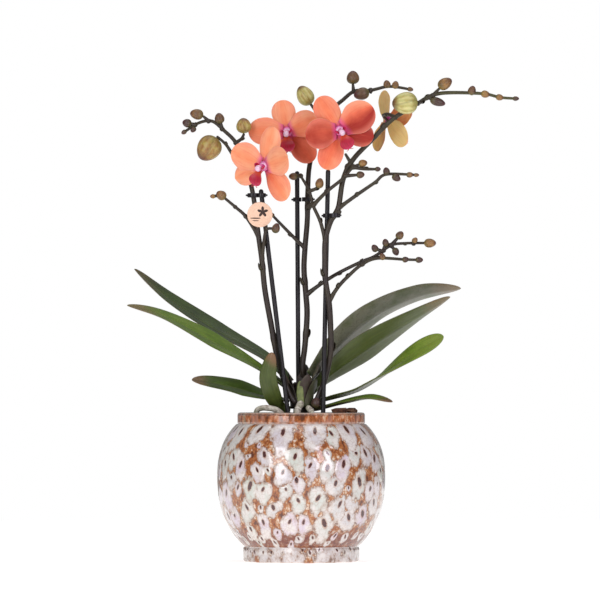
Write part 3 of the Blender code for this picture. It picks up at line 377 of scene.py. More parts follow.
# Roots above the bark, as points and a radius.
ROOTS = {
    "root_front": (((-0.6, -10.6, 7), (-2.6, -12.8, 3), (-3.6, -15.6, -3), (-3, -16.4, -12)), 2.9),
    "root_right": (((6, -10.8, 3.6), (8.6, -14, 0), (9.6, -16.6, -6), (10, -17, -12)), 2.4),
    "root_left": (((-11, -22.6, -10), (-14.4, -22.6, -3), (-21, -21.8, 2.4), (-31, -19, 3.8),
                   (-36.4, -14.6, 1), (-36.6, -11, -8)), 2.6),
}

# Loose chips near the rim: middle and turn in degrees.
CHIPS = {
    "bark_chip_front": ((31, -17, 1.4), 24),
    "bark_chip_side": ((41, -3, 1.2), 70),
}


def linear(code):
    """An sRGB hex colour as linear red, green and blue."""
    shares = [int(code[at:at + 2], 16) / 255 for at in (0, 2, 4)]
    return tuple(s / 12.92 if s <= 0.04045 else ((s + 0.055) / 1.055) ** 2.4 for s in shares)


def size_option(name, description, default):
    return FloatProperty(
        name=name, description=description, default=default, subtype="DISTANCE", unit="LENGTH",
        precision=4,
    )


def colour_option(name, description, code):
    return FloatVectorProperty(
        name=name, description=description, default=linear(code), subtype="COLOR", size=3,
        min=0, max=1,
    )


class ORCHID_PG_pot(bpy.types.PropertyGroup):
    """Sizes of the glazed pot and the grow pot in it."""

    height: size_option("Height", "Overall height of the glazed pot", POT_HIGH[2])
    belly_radius: size_option("Belly radius", "Radius where the pot is widest", POT_HIGH[0])
    rim_radius: size_option("Rim radius", "Outer radius of the straight rim band", 52.3 * MM)
    rim_band: size_option("Rim band", "Height of the straight rim band", 9.6 * MM)
    foot_radius: size_option("Foot radius", "Radius of the foot ring", 47.8 * MM)
    foot_height: size_option("Foot height", "Height of the foot ring", 13 * MM)
    wall: size_option("Wall", "Thickness of the pot's wall", 5 * MM)
    glaze_relief: size_option("Glaze relief", "How far a glaze ring stands proud", 0.3 * MM)


class ORCHID_PG_plant(bpy.types.PropertyGroup):
    """Sizes of the plant and what holds it up."""

    leaf_thickness: size_option("Leaf thickness", "Thickness of a leaf at its midrib", 1.9 * MM)
    petal_thickness: size_option("Petal thickness", "Thickness of a petal", 0.75 * MM)
    petal_ruffle: size_option("Petal ruffle", "How far a petal's margin waves", 0.7 * MM)
    lip_length: size_option("Lip length", "From the flower's middle to the lip's tip", 16 * MM)
    spike_foot_radius: size_option("Spike foot", "Radius of a flower spike at its foot", 2.4 * MM)
    spike_tip_radius: size_option("Spike tip", "Radius of a flower spike at its tip", 1.1 * MM)
    branch_radius: size_option("Branch", "Radius of a side branch where it starts", 1.7 * MM)
    stake_radius: size_option("Stake radius", "Radius of a stake", 1.9 * MM)
    tag_radius: size_option("Tag radius", "Radius of the round tag", 10.3 * MM)


class ORCHID_PG_colours(bpy.types.PropertyGroup):
    """Colours of the finishes."""

    glaze_pale: colour_option("Glaze, pale", "Off-white of the rings in the glaze", "C2B5AD")
    glaze_rust: colour_option("Glaze, rust", "Rust brown between the rings", "A05A2A")
    glaze_spot: colour_option("Glaze, spot", "Maroon of the spot inside each ring", "361618")
    petal: colour_option("Petal", "Salmon of the open petals", "F49A72")
    # The deep coral is the petals' own depth of colour, and also painted shade where a blade's tone runs
    # high.
    petal_deep_and_shade: colour_option("Petal, deep", "Deep coral in a flower's depths", "A42412")
    petal_back: colour_option("Petal, back", "Ochre of a petal's back", "EBC272")
    lip: colour_option("Lip", "Crimson of the lip", "B5123C")
    bud: colour_option("Bud", "Olive yellow of a bud", "A8924A")
    leaf: colour_option("Leaf", "Green of a leaf's upper face", "44571F")
    leaf_back: colour_option("Leaf, back", "Grey mauve of a leaf's lower face", "7B7968")
    stem: colour_option("Stem", "Purple brown of the spikes", "3A2E2B")
    bark: colour_option("Bark", "Brown of the bark chips", "4E2C1D")
    plastic: colour_option("Plastic", "Black of the stakes and clips", "171116")
    card: colour_option("Tag", "Peach of the tag", "F2C9AE")
    floor: colour_option("Floor", "Pale studio floor", "F7F6F4")


def add(tree, kind, links=(), out=0, stops=(), **settings):
    """Adds a shader node with its settings and its sockets' values or links, and gives an output.
    Stops fill a colour ramp."""
    made = tree.nodes.new("ShaderNode" + kind)
    for name, value in settings.items():
        setattr(made, name, value)
    for at, (position, colour) in enumerate(stops):
        elements = made.color_ramp.elements
        element = elements[at] if at < 2 else elements.new(position)
        element.position = position
        element.color = (*colour, 1)
    for socket, value in links.items() if isinstance(links, dict) else enumerate(links):
        target = made.inputs[socket]
        if isinstance(value, bpy.types.NodeSocket):
            tree.links.new(value, target)
        elif target.type == "RGBA":
            target.default_value = (*value[:3], 1)
        else:
            target.default_value = value
    return made.outputs[out]


def every(size):
    """The scale that repeats a texture about every so many millimetres."""
    return 1 / (size * MM)


def toward(colour, other, share):
    """A colour part of the way to another, which is a hex code."""
    return tuple(a + (b - a) * share for a, b in zip(colour, linear(other)))


def start_finish(name, marks=(), **constants):
    """A new material whose shader has these constants. Gives it with its tree, the place on the
    piece in metres, and the marks that its pieces carry."""
    material = bpy.data.materials.new(name)
    material.use_nodes = True
    tree = material.node_tree
    shader = tree.nodes["Principled BSDF"]
    for socket, value in constants.items():
        shader.inputs[socket.replace("_", " ")].default_value = value
    place = add(tree, "TexCoord", out="Object")
    carried = [add(tree, "Attribute", attribute_name=mark, out="Fac") for mark in marks]
    return material, tree, place, *carried


def layered(tree, colour, *layers):
    """A colour with others laid over it. Each layer is its colour, the pattern that spreads it, the
    pattern's values where it starts and ends, how much it covers at each, and SOFT if it eases in.
    A layer with no values covers as much as its pattern says."""
    for over, pattern, *span in layers:
        if span:
            easing = span[4] if len(span) > 4 else "LINEAR"
            pattern = add(tree, "MapRange", (pattern, *span[:4]), interpolation_type=easing)
        colour = add(tree, "Mix", {0: pattern, 6: colour, 7: over}, 2, data_type="RGBA")
    return colour


def streaks(tree, blade_marks, runs, lines, detail, **sockets):
    """Streaks along a blade: about so many patches to its length, and so many lines across it."""
    place = add(tree, "CombineXYZ", blade_marks)
    place = add(tree, "Mapping", {"Vector": place, "Scale": (runs, lines, 1)})
    return add(tree, "TexNoise", {"Vector": place, "Scale": 1.0, "Detail": detail, **sockets})


def end_finish(material, colour, height, depth, gloss=None):
    """Puts a pattern on the shader: its colour, bump of a depth in millimetres, and gloss, which is
    a pattern with the roughness at its low and high end."""
    tree = material.node_tree
    shader = tree.nodes["Principled BSDF"]
    tree.links.new(colour, shader.inputs["Base Color"])
    bump = add(tree, "Bump", {"Height": height, "Strength": 0.5, "Distance": depth * MM})
    tree.links.new(bump, shader.inputs["Normal"])
    if gloss:
        pattern, smooth, rough = gloss
        level = add(tree, "MapRange", (pattern, 0.0, 1.0, smooth, rough))
        tree.links.new(level, shader.inputs["Roughness"])
    return material


class Shape:
    """A mesh as it grows: points that carry marks, and faces that carry a finish."""

    def __init__(self):
        self.points = []
        self.marks = []
        self.faces = []
        self.finishes = []

    def point(self, place, **marks):
        self.points.append(place)
        self.marks.append(marks)
        return len(self.points) - 1

    def face(self, corners, finish=0):
        self.faces.append(corners)
        self.finishes.append(finish)

    def strip(self, first, second, finish=0, loop=False):
        """Faces between two rows of points."""
        count = len(first)
        for at in range(count if loop else count - 1):
            beyond = (at + 1) % count
            self.face((first[at], first[beyond], second[beyond], second[at]), finish)

    def fan(self, tip, row, finish=0):
        """Faces from one point to a closed row."""
        for at, corner in enumerate(row):
            self.face((tip, corner, row[(at + 1) % len(row)]), finish)

    def skin(self, rows, finish=0):
        """Faces between closed rows of points. A row of one point is a tip."""
        for one, other in zip(rows, rows[1:]):
            if len(one) == 1:
                self.fan(one[0], other, finish)
            elif len(other) == 1:
                self.fan(other[0], one, finish)
            else:
                self.strip(one, other, finish, loop=True)

    def piece(self, name, finishes, slot, *nodes):
        """Makes the piece, rides it on the body and puts it in the nodes' place."""
        mesh = bpy.data.meshes.new(name)
        mesh.from_pydata(self.points, [], self.faces)
        for finish in finishes:
            mesh.materials.append(finish)
        mesh.polygons.foreach_set("material_index", self.finishes)
        for mark in sorted({mark for marks in self.marks for mark in marks}):
            layer = mesh.attributes.new(mark, "FLOAT", "POINT")
            layer.data.foreach_set("value", [marks.get(mark, 0.0) for marks in self.marks])
        faces = bmesh.new()
        faces.from_mesh(mesh)
        bmesh.ops.recalc_face_normals(faces, faces=faces.faces)
        faces.to_mesh(mesh)
        faces.free()
        mesh.shade_smooth()
        obj = bpy.data.objects.new(name, mesh)
        bpy.context.scene.collection.objects.link(obj)
        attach(obj, BODY)
        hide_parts(*nodes)
        return obj


def on_plant(point):
    """A point given in millimetres from the rim plane, in metres."""
    x, y, z = point
    return Vector((x * MM, y * MM, POT_HIGH[2] + z * MM))


def smooth_path(points, steps):
    """Points along a smooth curve through the given ones, steps to a span."""
    knots = [on_plant(point) for point in points]
    last = len(knots) - 1
    path = [knots[0]]
    for index in range(last):
        start = knots[index]
        end = knots[index + 1]
        leaving = (end - knots[max(index - 1, 0)]) / 2
        arriving = (knots[min(index + 2, last)] - start) / 2
        for step in range(1, steps + 1):
            t = step / steps
            path.append(
                start * (2 * t**3 - 3 * t**2 + 1)
                + leaving * (t**3 - 2 * t**2 + t)
                + end * (3 * t**2 - 2 * t**3)
                + arriving * (t**3 - t**2)
            )
    return path


def path_shares(path):
    """How far along the path each of its points is, from 0 to 1."""
    reached = [0.0]
    for start, end in zip(path, path[1:]):
        reached.append(reached[-1] + (end - start).length)
    return [length / reached[-1] for length in reached]


def along_path(path, shares, share):
    """The point and direction at a share of the path's length."""
    index = 0
    while index < len(path) - 2 and shares[index + 1] < share:
        index += 1
    within = (share - shares[index]) / (shares[index + 1] - shares[index])
    before = path[max(index - 1, 0)]
    after = path[min(index + 2, len(path) - 1)]
    return path[index].lerp(path[index + 1], min(within, 1)), (after - before).normalized()


def at_height(path, height):
    """Where a rising path passes a height."""
    for start, end in zip(path, path[1:]):
        if start.z <= height <= end.z:
            return start.lerp(end, (height - start.z) / (end.z - start.z))
    raise ValueError("the path does not reach that height")


def taper(share, narrow, peak, tip):
    """Half width along a blade: narrow at its base, full at the peak, rounded at its end."""
    if share < peak:
        return narrow + (1 - narrow) * math.sin(math.pi / 2 * share / peak) ** 1.3
    beyond = (share - peak) / (1 - peak)
    return max(math.sqrt(max(1 - beyond**2.2, 0)), tip)


def hump(value, width):
    """1 at zero, falling away smoothly over the width."""
    return math.exp(-((value / width) ** 2))


def blade(shape, place, rows, columns, thickness, finish=0, flip=False, **marks):
    """A thin blade on the surface place(along, across), its two faces meeting at the margin."""
    alongs = [1 - (1 - row / rows) ** 1.6 for row in range(rows + 1)]
    acrosses = [math.sin(math.pi / 2 * (2 * column / columns - 1)) for column in range(columns + 1)]
    spots = [[place(along, across) for across in acrosses] for along in alongs]
    sheets = ([], [])
    for row, along in enumerate(alongs):
        lines = ([], [])
        for column, across in enumerate(acrosses):
            spot = spots[row][column]
            lengthwise = spots[min(row + 1, rows)][column] - spots[max(row - 1, 0)][column]
            crosswise = spots[row][min(column + 1, columns)] - spots[row][max(column - 1, 0)]
            facing = crosswise.cross(lengthwise).normalized()
            own = dict(marks, along=along, across=across)
            if row in (0, rows) or column in (0, columns):
                corner = shape.point(spot, under=0.5, **own)
                lines[0].append(corner)
                lines[1].append(corner)
                continue
            ends = min(1, (1 - along) * 12, along * 12)
            half = thickness / 2 * math.sqrt(1 - across**4) * math.sqrt(ends)
            lines[0].append(shape.point(spot + facing * half, under=float(flip), **own))
            lines[1].append(shape.point(spot - facing * half, under=1.0 - flip, **own))
        sheets[0].append(lines[0])
        sheets[1].append(lines[1])
    for sheet in sheets:
        for first, second in zip(sheet, sheet[1:]):
            shape.strip(first, second, finish)


def around(sides):
    """The angles of so many even steps round a full turn."""
    return [2 * math.pi * step / sides for step in range(sides)]


def polar(radius, angle, z=0.0):
    """The point at this distance from the Z axis, in this direction."""
    return Vector((radius * math.cos(angle), radius * math.sin(angle), z))


def round_row(shape, radius, z, sides, **marks):
    """A row of points round the Z axis, or the one point on it."""
    angles = around(sides) if radius else (0,)
    return [shape.point(polar(radius, angle, z), **marks) for angle in angles]


def tube(shape, path, radius, sides, finish=0, **marks):
    """A tube with rounded ends along a path. radius(share) gives its radius."""
    shares = path_shares(path)
    tangent = (path[1] - path[0]).normalized()
    side = tangent.orthogonal().normalized()
    start, end = radius(0), radius(1)
    rows = [[shape.point(path[0] - tangent * start, along=0.0, **marks)]]

    def ring(middle, forward, size, share):
        other = forward.cross(side)
        row = []
        for step, angle in enumerate(around(sides)):
            spot = middle + (side * math.cos(angle) + other * math.sin(angle)) * size
            row.append(shape.point(spot, along=share, across=step / sides, **marks))
        rows.append(row)

    for lean in reversed(CAP_LEANS):
        ring(path[0] - tangent * start * math.sin(lean), tangent, start * math.cos(lean), 0.0)
    for index, middle in enumerate(path):
        before = path[max(index - 1, 0)]
        after = path[min(index + 1, len(path) - 1)]
        turned = (after - before).normalized()
        side = (tangent.rotation_difference(turned) @ side).normalized()
        tangent = turned
        ring(middle, tangent, radius(shares[index]), shares[index])
    for lean in CAP_LEANS:
        ring(path[-1] + tangent * end * math.sin(lean), tangent, end * math.cos(lean), 1.0)
    rows.append([shape.point(path[-1] + tangent * end, along=1.0, **marks)])
    shape.skin(rows, finish)


def egg(shape, middle, length, width, direction, detail, seam, finish=0, **marks):
    """A bud: an egg, narrower at its tip, with a shallow seam where each sepal meets the next."""
    turn = Vector(direction).to_track_quat("Z", "Y").to_matrix()
    rows = []
    for level in range(detail + 1):
        height = -math.cos(math.pi * level / detail)
        share = (height + 1) / 2
        if level in (0, detail):
            spot = middle + turn @ Vector((0, 0, height * length / 2))
            rows.append([shape.point(spot, along=share, across=0.0, seam=1.0, **marks)])
            continue
        row = []
        bulge = math.sqrt(1 - height**2)
        girth = width / 2 * bulge * (1 - EGG_TAPER * height)
        for step, angle in enumerate(around(2 * detail)):
            groove = hump(math.sin(1.5 * angle + 0.5 * height), SEAM_SPREAD)
            spot = polar(girth - seam * groove * bulge, angle, height * length / 2)
            row.append(shape.point(
                middle + turn @ spot, along=share, across=step / (2 * detail), seam=groove, **marks
            ))
        rows.append(row)
    shape.skin(rows, finish)


def turned(shape, profile, sides, finish=0):
    """A turned solid. The profile runs from the axis over the top to the axis below."""
    shape.skin([round_row(shape, radius, z, sides) for radius, z in profile], finish)


def rounded(outline, radius, steps=5):
    """An outline of (radius, height) points with its inner corners rounded."""
    smooth = [outline[0]]
    for before, corner, after in zip(outline, outline[1:], outline[2:]):
        corner = Vector(corner)
        into = Vector(before) - corner
        away = Vector(after) - corner
        reach = min(radius, into.length * 0.45, away.length * 0.45)
        start = corner + into.normalized() * reach
        end = corner + away.normalized() * reach
        for step in range(steps + 1):
            t = step / steps
            spot = start * (1 - t) ** 2 + corner * (2 * t * (1 - t)) + end * t**2
            smooth.append((spot.x, spot.y))
    smooth.append(outline[-1])
    return smooth


# Finishes. Each is named for its stuff and how it was made. Sizes in every() are in millimetres.
# The specks in the glaze, the pores of stems and leaves, the cells of petals and the grain of plastic
# and card are finer than drawn here. They are drawn coarser so that they show.

SOFT = "SMOOTHSTEP"


def reactive_glaze(colours):
    """Reactive glaze on stoneware, dipped and fired: pale where it pooled into rings, rust and
    speckled where it ran thin between them, maroon at each ring's core. Its glassy top gives sharp
    bright reflections and a pale outline."""
    material, tree, place, ring, spot, hue, deep = start_finish(
        "reactive glaze on stoneware", ("ring", "spot", "hue", "deep"), IOR=1.55, Coat_Weight=0.7,
        Coat_Roughness=0.02, Coat_IOR=1.5,
    )
    rust, pale = tuple(colours.glaze_rust), tuple(colours.glaze_pale)
    drooping = add(tree, "Mapping", {"Vector": place, "Scale": (1, 1, 0.6)})
    fine, drift, wide, mottle = [
        add(tree, "TexNoise", {"Vector": where, "Scale": every(size), "Detail": detail,
                               "Roughness": rough})
        for where, size, detail, rough in (
            (place, 0.9, 4, 0.5), (drooping, 3.5, 3, 0.5), (place, 9, 3, 0.5), (place, 2.1, 3, 0.7))
    ]
    specks = add(tree, "TexVoronoi", {"Vector": drooping, "Scale": every(2.6)})
    crackle = add(tree, "TexVoronoi", {"Vector": place, "Scale": every(4.5)},
                  feature="DISTANCE_TO_EDGE")
    for pattern, share in ((drift, 0.6), (mottle, 0.4), (wide, -1.1)):
        ring = add(tree, "Math", (pattern, share, ring), operation="MULTIPLY_ADD")
    for pattern, share in ((fine, 0.3), (mottle, 0.8)):
        spot = add(tree, "Math", (pattern, share, spot), operation="MULTIPLY_ADD")

    # The ground, from dark flecks to sandy ones, and maroon low on the pot.
    level = add(tree, "Math", (mottle, 0.55), operation="MULTIPLY")
    level = add(tree, "Math", (drift, 0.75, level), operation="MULTIPLY_ADD")
    ground = add(tree, "ValToRGB", (level,), stops=(
        (0.5, toward(rust, "42180F", 0.85)), (0.58, toward(rust, "7C401E", 0.7)), (0.65, rust),
        (0.72, toward(rust, "B88452", 0.7)), (0.8, toward(rust, "DCCAB8", 0.9)),
    ))
    ground = layered(
        tree, ground, (linear("42180F"), specks, 0.12, 0.26, 0.7, 0.0), (linear("6A302A"), deep)
    )

    # The rings: greenish or lilac white, clouded, cracked and stained, sandy and freckled towards
    # their edge, with a dark core in a brown halo.
    sand = add(tree, "MapRange", (ring, 0.6, 1.0, 0.0, 0.9), interpolation_type=SOFT)
    freckles = add(tree, "MapRange", (specks, 0.13, 0.24, 1.0, 0.0))
    freckles = add(tree, "Math", (freckles, sand), operation="MULTIPLY")
    core = add(tree, "ValToRGB", (fine,), stops=(
        (0.4, tuple(colours.glaze_spot)), (0.66, toward(colours.glaze_spot, "74382F", 0.6)),
    ))
    body = layered(
        tree, toward(pale, "CFDCCF", 0.6), (toward(pale, "DCCBE2", 0.6), hue),
        (toward(pale, "E4DDD8", 0.8), wide, 0.42, 0.62, 0.0, 0.9),
        (linear("9A7A66"), crackle, 0.0, 0.06, 0.35, 0.0),
        (linear("B08E78"), mottle, 0.54, 0.7, 0.0, 0.5),
        (toward(pale, "AD8E78", 0.85), sand), (linear("8A5434"), freckles),
        (linear("A87858"), spot, 1.6, 2.1, 0.6, 0.0, SOFT), (core, spot, 1.42, 1.58, 1.0, 0.0, SOFT),
    )

    # A thin broken line where a ring ends.
    cover = add(tree, "MapRange", (ring, 0.92, 1.0, 1.0, 0.0), interpolation_type=SOFT)
    line = add(tree, "MapRange", (ring, 0.84, 0.94, 0.0, 0.9))
    broken = add(tree, "MapRange", (drift, 0.42, 0.56, 0.1, 1.0))
    for share in (cover, broken):
        line = add(tree, "Math", (line, share), operation="MULTIPLY")
    colour = layered(tree, ground, (body, cover), (linear("5A3220"), line))
    height = add(tree, "Math", (cover, 2.0, fine), operation="MULTIPLY_ADD")
    return end_finish(material, colour, height, 0.06, (fine, 0.06, 0.16))


def rim_glaze(colours):
    """The same glaze where it ran thin over the rim band: rust, in vertical streaks, with a few
    sandy or greenish runs, and pale along its top edge and just above the groove, a painted
    highlight where the glaze also breaks thin over the edges."""
    material, tree, place, edge = start_finish(
        "reactive glaze run thin", ("edge",), IOR=1.5, Coat_Weight=0.4, Coat_Roughness=0.03,
        Coat_IOR=1.5,
    )
    rust, pale = tuple(colours.glaze_rust), tuple(colours.glaze_pale)
    running = add(tree, "Mapping", {"Vector": place, "Scale": (1, 1, 0.42)})
    streak, fine, wide = [
        add(tree, "TexNoise", {"Vector": where, "Scale": every(size), "Detail": detail})
        for where, size, detail in ((running, 3.6, 4), (place, 0.8, 3), (running, 10, 2))
    ]
    level = add(tree, "Math", (fine, 0.3, streak), operation="MULTIPLY_ADD")
    ground = add(tree, "ValToRGB", (level,), stops=(
        (0.54, toward(rust, "4E2412", 0.9)), (0.64, toward(rust, "8A4A20", 0.7)),
        (0.73, toward(rust, "B8683A", 0.7)), (0.83, linear("C8A284")),
    ))
    # The edge mark lays a pale painted highlight along the band's top edge and just above the groove.
    colour = layered(
        tree, ground, (linear("A58D6E"), wide, 0.56, 0.68, 0.0, 0.6),
        (linear("B98470"), wide, 0.46, 0.36, 0.0, 0.55), (toward(pale, "D8B49C", 0.35), edge),
    )
    return end_finish(material, colour, streak, 0.12, (fine, 0.07, 0.18))


def moulded_plastic(name, colour, roughness):
    """Moulded polymer: an even colour with a faint satin texture and flow marks."""
    material, tree, place = start_finish(name, IOR=1.42)
    drawn = add(tree, "Mapping", {"Vector": place, "Scale": (1, 1, 0.15)})
    grain = add(tree, "TexNoise", {"Vector": place, "Scale": every(0.35), "Detail": 2})
    flow = add(tree, "TexNoise", {"Vector": drawn, "Scale": every(6), "Detail": 2})
    shade = add(tree, "ValToRGB", (flow,), stops=(
        (0.3, toward(colour, "000000", 0.3)), (0.6, tuple(colour)), (0.8, toward(colour, "6A6670", 0.15)),
    ))
    return end_finish(material, shade, grain, 0.03, (grain, roughness - 0.08, roughness + 0.1))


def pine_bark(colours):
    """Graded pine bark: rough, layered and dull, with pale weathered faces and dark cracks."""
    material, tree, place, tone = start_finish("graded pine bark", ("tone",), Roughness=0.9)
    bark = tuple(colours.bark)
    flat = add(tree, "Mapping", {"Vector": place, "Scale": (0.5, 1, 2)})
    layer = add(tree, "TexNoise", {"Vector": flat, "Scale": every(2.2), "Detail": 5,
                                   "Distortion": 0.6})
    crumb = add(tree, "TexNoise", {"Vector": place, "Scale": every(0.7), "Detail": 4})
    level = add(tree, "Math", (tone, 0.3, layer), operation="MULTIPLY_ADD")
    flake = add(tree, "ValToRGB", (level,), stops=(
        (0.38, toward(bark, "100808", 0.9)), (0.56, bark), (0.74, toward(bark, "7A4C32", 0.7)),
        (0.9, toward(bark, "A88A6C", 0.7)),
    ))
    colour = layered(tree, flake, (linear("1A0F0C"), crumb, 0.58, 0.7, 0.0, 0.9))
    height = add(tree, "Math", (crumb, 0.4, layer), operation="MULTIPLY_ADD")
    return end_finish(material, colour, height, 0.9)


def waxy_leaf(colours):
    """A moth orchid's leaf: thick and waxy, olive, with fine parallel veins under a smooth skin, a
    soft sheen, a grey-mauve lower face, and a tip that ages to tan."""
    material, tree, place, along, across, seed, tone, mauve, brown, under = start_finish(
        "waxy leaf", ("along", "across", "seed", "tone", "mauve", "brown", "under"), IOR=1.4,
        Coat_Weight=0.04, Coat_Roughness=0.3, Subsurface_Weight=0.04, Subsurface_Scale=1.5 * MM,
    )
    green = tuple(colours.leaf)
    streak = streaks(tree, (along, across, seed), 7, 6, 3)
    vein = streaks(tree, (along, across, seed), 3, 26, 2)
    cloud, pores, freckle = [
        add(tree, "TexNoise", {"Vector": place, "Scale": every(size), "Detail": detail})
        for size, detail in ((16, 3), (0.5, 2), (1.4, 2))
    ]
    side = add(tree, "Math", (across,), operation="ABSOLUTE")

    # The upper face, from dark to yellow green, with a pale midrib.
    shift = add(tree, "Math", (cloud, 0.5, tone), operation="MULTIPLY_ADD")
    shift = add(tree, "Math", (streak, 0.3, shift), operation="MULTIPLY_ADD")
    shift = add(tree, "Math", (shift, 0.75), operation="MULTIPLY")
    upper = add(tree, "ValToRGB", (shift,), stops=(
        (0.32, toward(green, "2B3720", 0.9)), (0.54, green), (0.75, toward(green, "5E7A20", 0.9)),
        (0.94, toward(green, "80963A", 0.9)),
    ))
    upper = layered(
        tree, upper, (toward(green, "26311A", 0.8), vein, 0.5, 0.7, 0.0, 0.3),
        (toward(green, "8E9A58", 0.8), side, 0.0, 0.07, 0.4, 0.0, SOFT),
    )

    # The lower face, plain olive, or grey with mauve speckles.
    grey_back = layered(
        tree, tuple(colours.leaf_back), (linear("5E5648"), freckle, 0.55, 0.66, 0.0, 0.7)
    )
    patches = add(tree, "MapRange", (cloud, 0.25, 0.55))
    patches = add(tree, "Math", (patches, mauve), operation="MULTIPLY")
    lower = layered(tree, linear("56622A"), (linear("333D18"), streak), (grey_back, patches))

    # Age: tan at the tip, and a thin brown margin.
    age = add(tree, "Math", (cloud, 0.22, along), operation="MULTIPLY_ADD")
    age = add(tree, "MapRange", (age, 0.9, 1.08), interpolation_type=SOFT)
    age = add(tree, "Math", (age, brown), operation="MULTIPLY")
    colour = layered(
        tree, upper, (lower, under, 0.45, 0.8, 0.0, 1.0), (linear("7C5C40"), age),
        (linear("4E342E"), side, 0.965, 1.0, 0.0, 0.55),
    )
    height = add(tree, "Math", (pores, 0.4, vein), operation="MULTIPLY_ADD")
    return end_finish(material, colour, height, 0.12, (streak, 0.26, 0.46))


def petal_tissue(colours):
    """Petal tissue: thin and fleshy, lit through. Faint veins fan out from the claw, the margin is
    pinker, the claw flushed magenta, the depths deep coral, which is partly painted shade, the back
    ochre, and the round cells of the skin give a faint velvet."""
    material, tree, place, along, across, seed, tone, under = start_finish(
        "petal tissue", ("along", "across", "seed", "tone", "under"), IOR=1.4,
        Subsurface_Weight=0.3, Subsurface_Scale=1.2 * MM, Subsurface_Radius=(1.0, 0.45, 0.25),
        Sheen_Weight=0.1, Sheen_Roughness=0.5,
    )
    salmon, deep, ochre = tuple(colours.petal), tuple(colours.petal_deep_and_shade), tuple(colours.petal_back)
    side = add(tree, "Math", (across,), operation="ABSOLUTE")
    vein = streaks(tree, (along, across, seed), 2.2, 11, 4, Distortion=0.3)
    cloud = add(tree, "TexNoise", {"Vector": place, "Scale": every(7), "Detail": 3})
    cells = add(tree, "TexVoronoi", {"Vector": place, "Scale": every(0.45)})
    level = add(tree, "Math", (cloud, 0.3, tone), operation="MULTIPLY_ADD")
    level = add(tree, "Math", (vein, 0.16, level), operation="MULTIPLY_ADD")
    level = add(tree, "Math", (level, 0.75), operation="MULTIPLY")
    face = add(tree, "ValToRGB", (level,), stops=(
        (0.16, toward(salmon, "FCB890", 0.7)), (0.32, salmon), (0.56, toward(salmon, "E4694A", 0.85)),
        (0.9, deep),
    ))
    glow = add(tree, "MapRange", (side, 0.55, 0.0, 0.0, 0.4), interpolation_type=SOFT)
    face = add(tree, "Mix", {0: glow, 6: face, 7: toward(salmon, "FFC98A", 0.9)}, 2,
               data_type="RGBA", blend_type="MULTIPLY")
    lines = add(tree, "MapRange", (vein, 0.52, 0.7, 0.0, 0.26))
    face = layered(
        tree, face, (toward(salmon, "F6907E", 0.8), side, 0.5, 0.96, 0.0, 0.4, SOFT),
        (toward(salmon, "FFC4AC", 0.8), side, 0.95, 1.0, 0.0, 0.5),
        (toward(salmon, "D9482C", 0.8), lines), (linear("E0508E"), along, 0.02, 0.2, 0.85, 0.0, SOFT),
    )
    back = add(tree, "ValToRGB", (level,), stops=(
        (0.2, toward(ochre, "EBCB8C", 0.7)), (0.42, ochre), (0.72, toward(ochre, "BE5A32", 0.85)),
    ))
    back = layered(tree, back, (linear("B06C38"), lines))
    colour = layered(tree, face, (back, under, 0.4, 0.7, 0.0, 1.0))
    height = add(tree, "Math", (cells, 0.3, vein), operation="MULTIPLY_ADD")
    return end_finish(material, colour, height, 0.12, (cloud, 0.46, 0.62))


def lip_tissue(colours):
    """Lip tissue: waxier than a petal, saturated crimson that runs to magenta at its margin, with
    orange streaks by the claw."""
    material, tree, _, along, across, tone = start_finish(
        "lip tissue", ("along", "across", "tone"), IOR=1.42, Subsurface_Weight=0.2,
        Subsurface_Scale=1.0 * MM, Subsurface_Radius=(1.0, 0.2, 0.3), Coat_Weight=0.1,
        Coat_Roughness=0.3,
    )
    crimson = tuple(colours.lip)
    streak = streaks(tree, (along, across, tone), 2, 8, 2)
    body = add(tree, "ValToRGB", (along,), stops=(
        (0.1, linear("E0622C")), (0.45, toward(crimson, "B01A2A", 0.7)), (0.8, crimson),
        (1.0, toward(crimson, "D82A6E", 0.7)),
    ))
    colour = layered(tree, body, (toward(crimson, "6A0A1E", 0.8), streak, 0.5, 0.64, 0.0, 0.45))
    return end_finish(material, colour, streak, 0.15, (streak, 0.3, 0.46))


def column_tissue(colours):
    """Column tissue: waxy, magenta pink where it meets the flower, paler towards its cap."""
    material, tree, place, along = start_finish(
        "column tissue", ("along",), Roughness=0.38, IOR=1.42, Subsurface_Weight=0.2,
        Subsurface_Scale=1.0 * MM, Subsurface_Radius=(1.0, 0.5, 0.6),
    )
    cloud = add(tree, "TexNoise", {"Vector": place, "Scale": every(1.6), "Detail": 3})
    level = add(tree, "Math", (cloud, 0.25, along), operation="MULTIPLY_ADD")
    colour = add(tree, "ValToRGB", (level,), stops=(
        (0.15, toward(colours.lip, "C03088", 0.8)), (0.55, linear("D84C9E")),
        (0.85, linear("E888BE")), (1.0, linear("F2C8DE")),
    ))
    return end_finish(material, colour, cloud, 0.1)


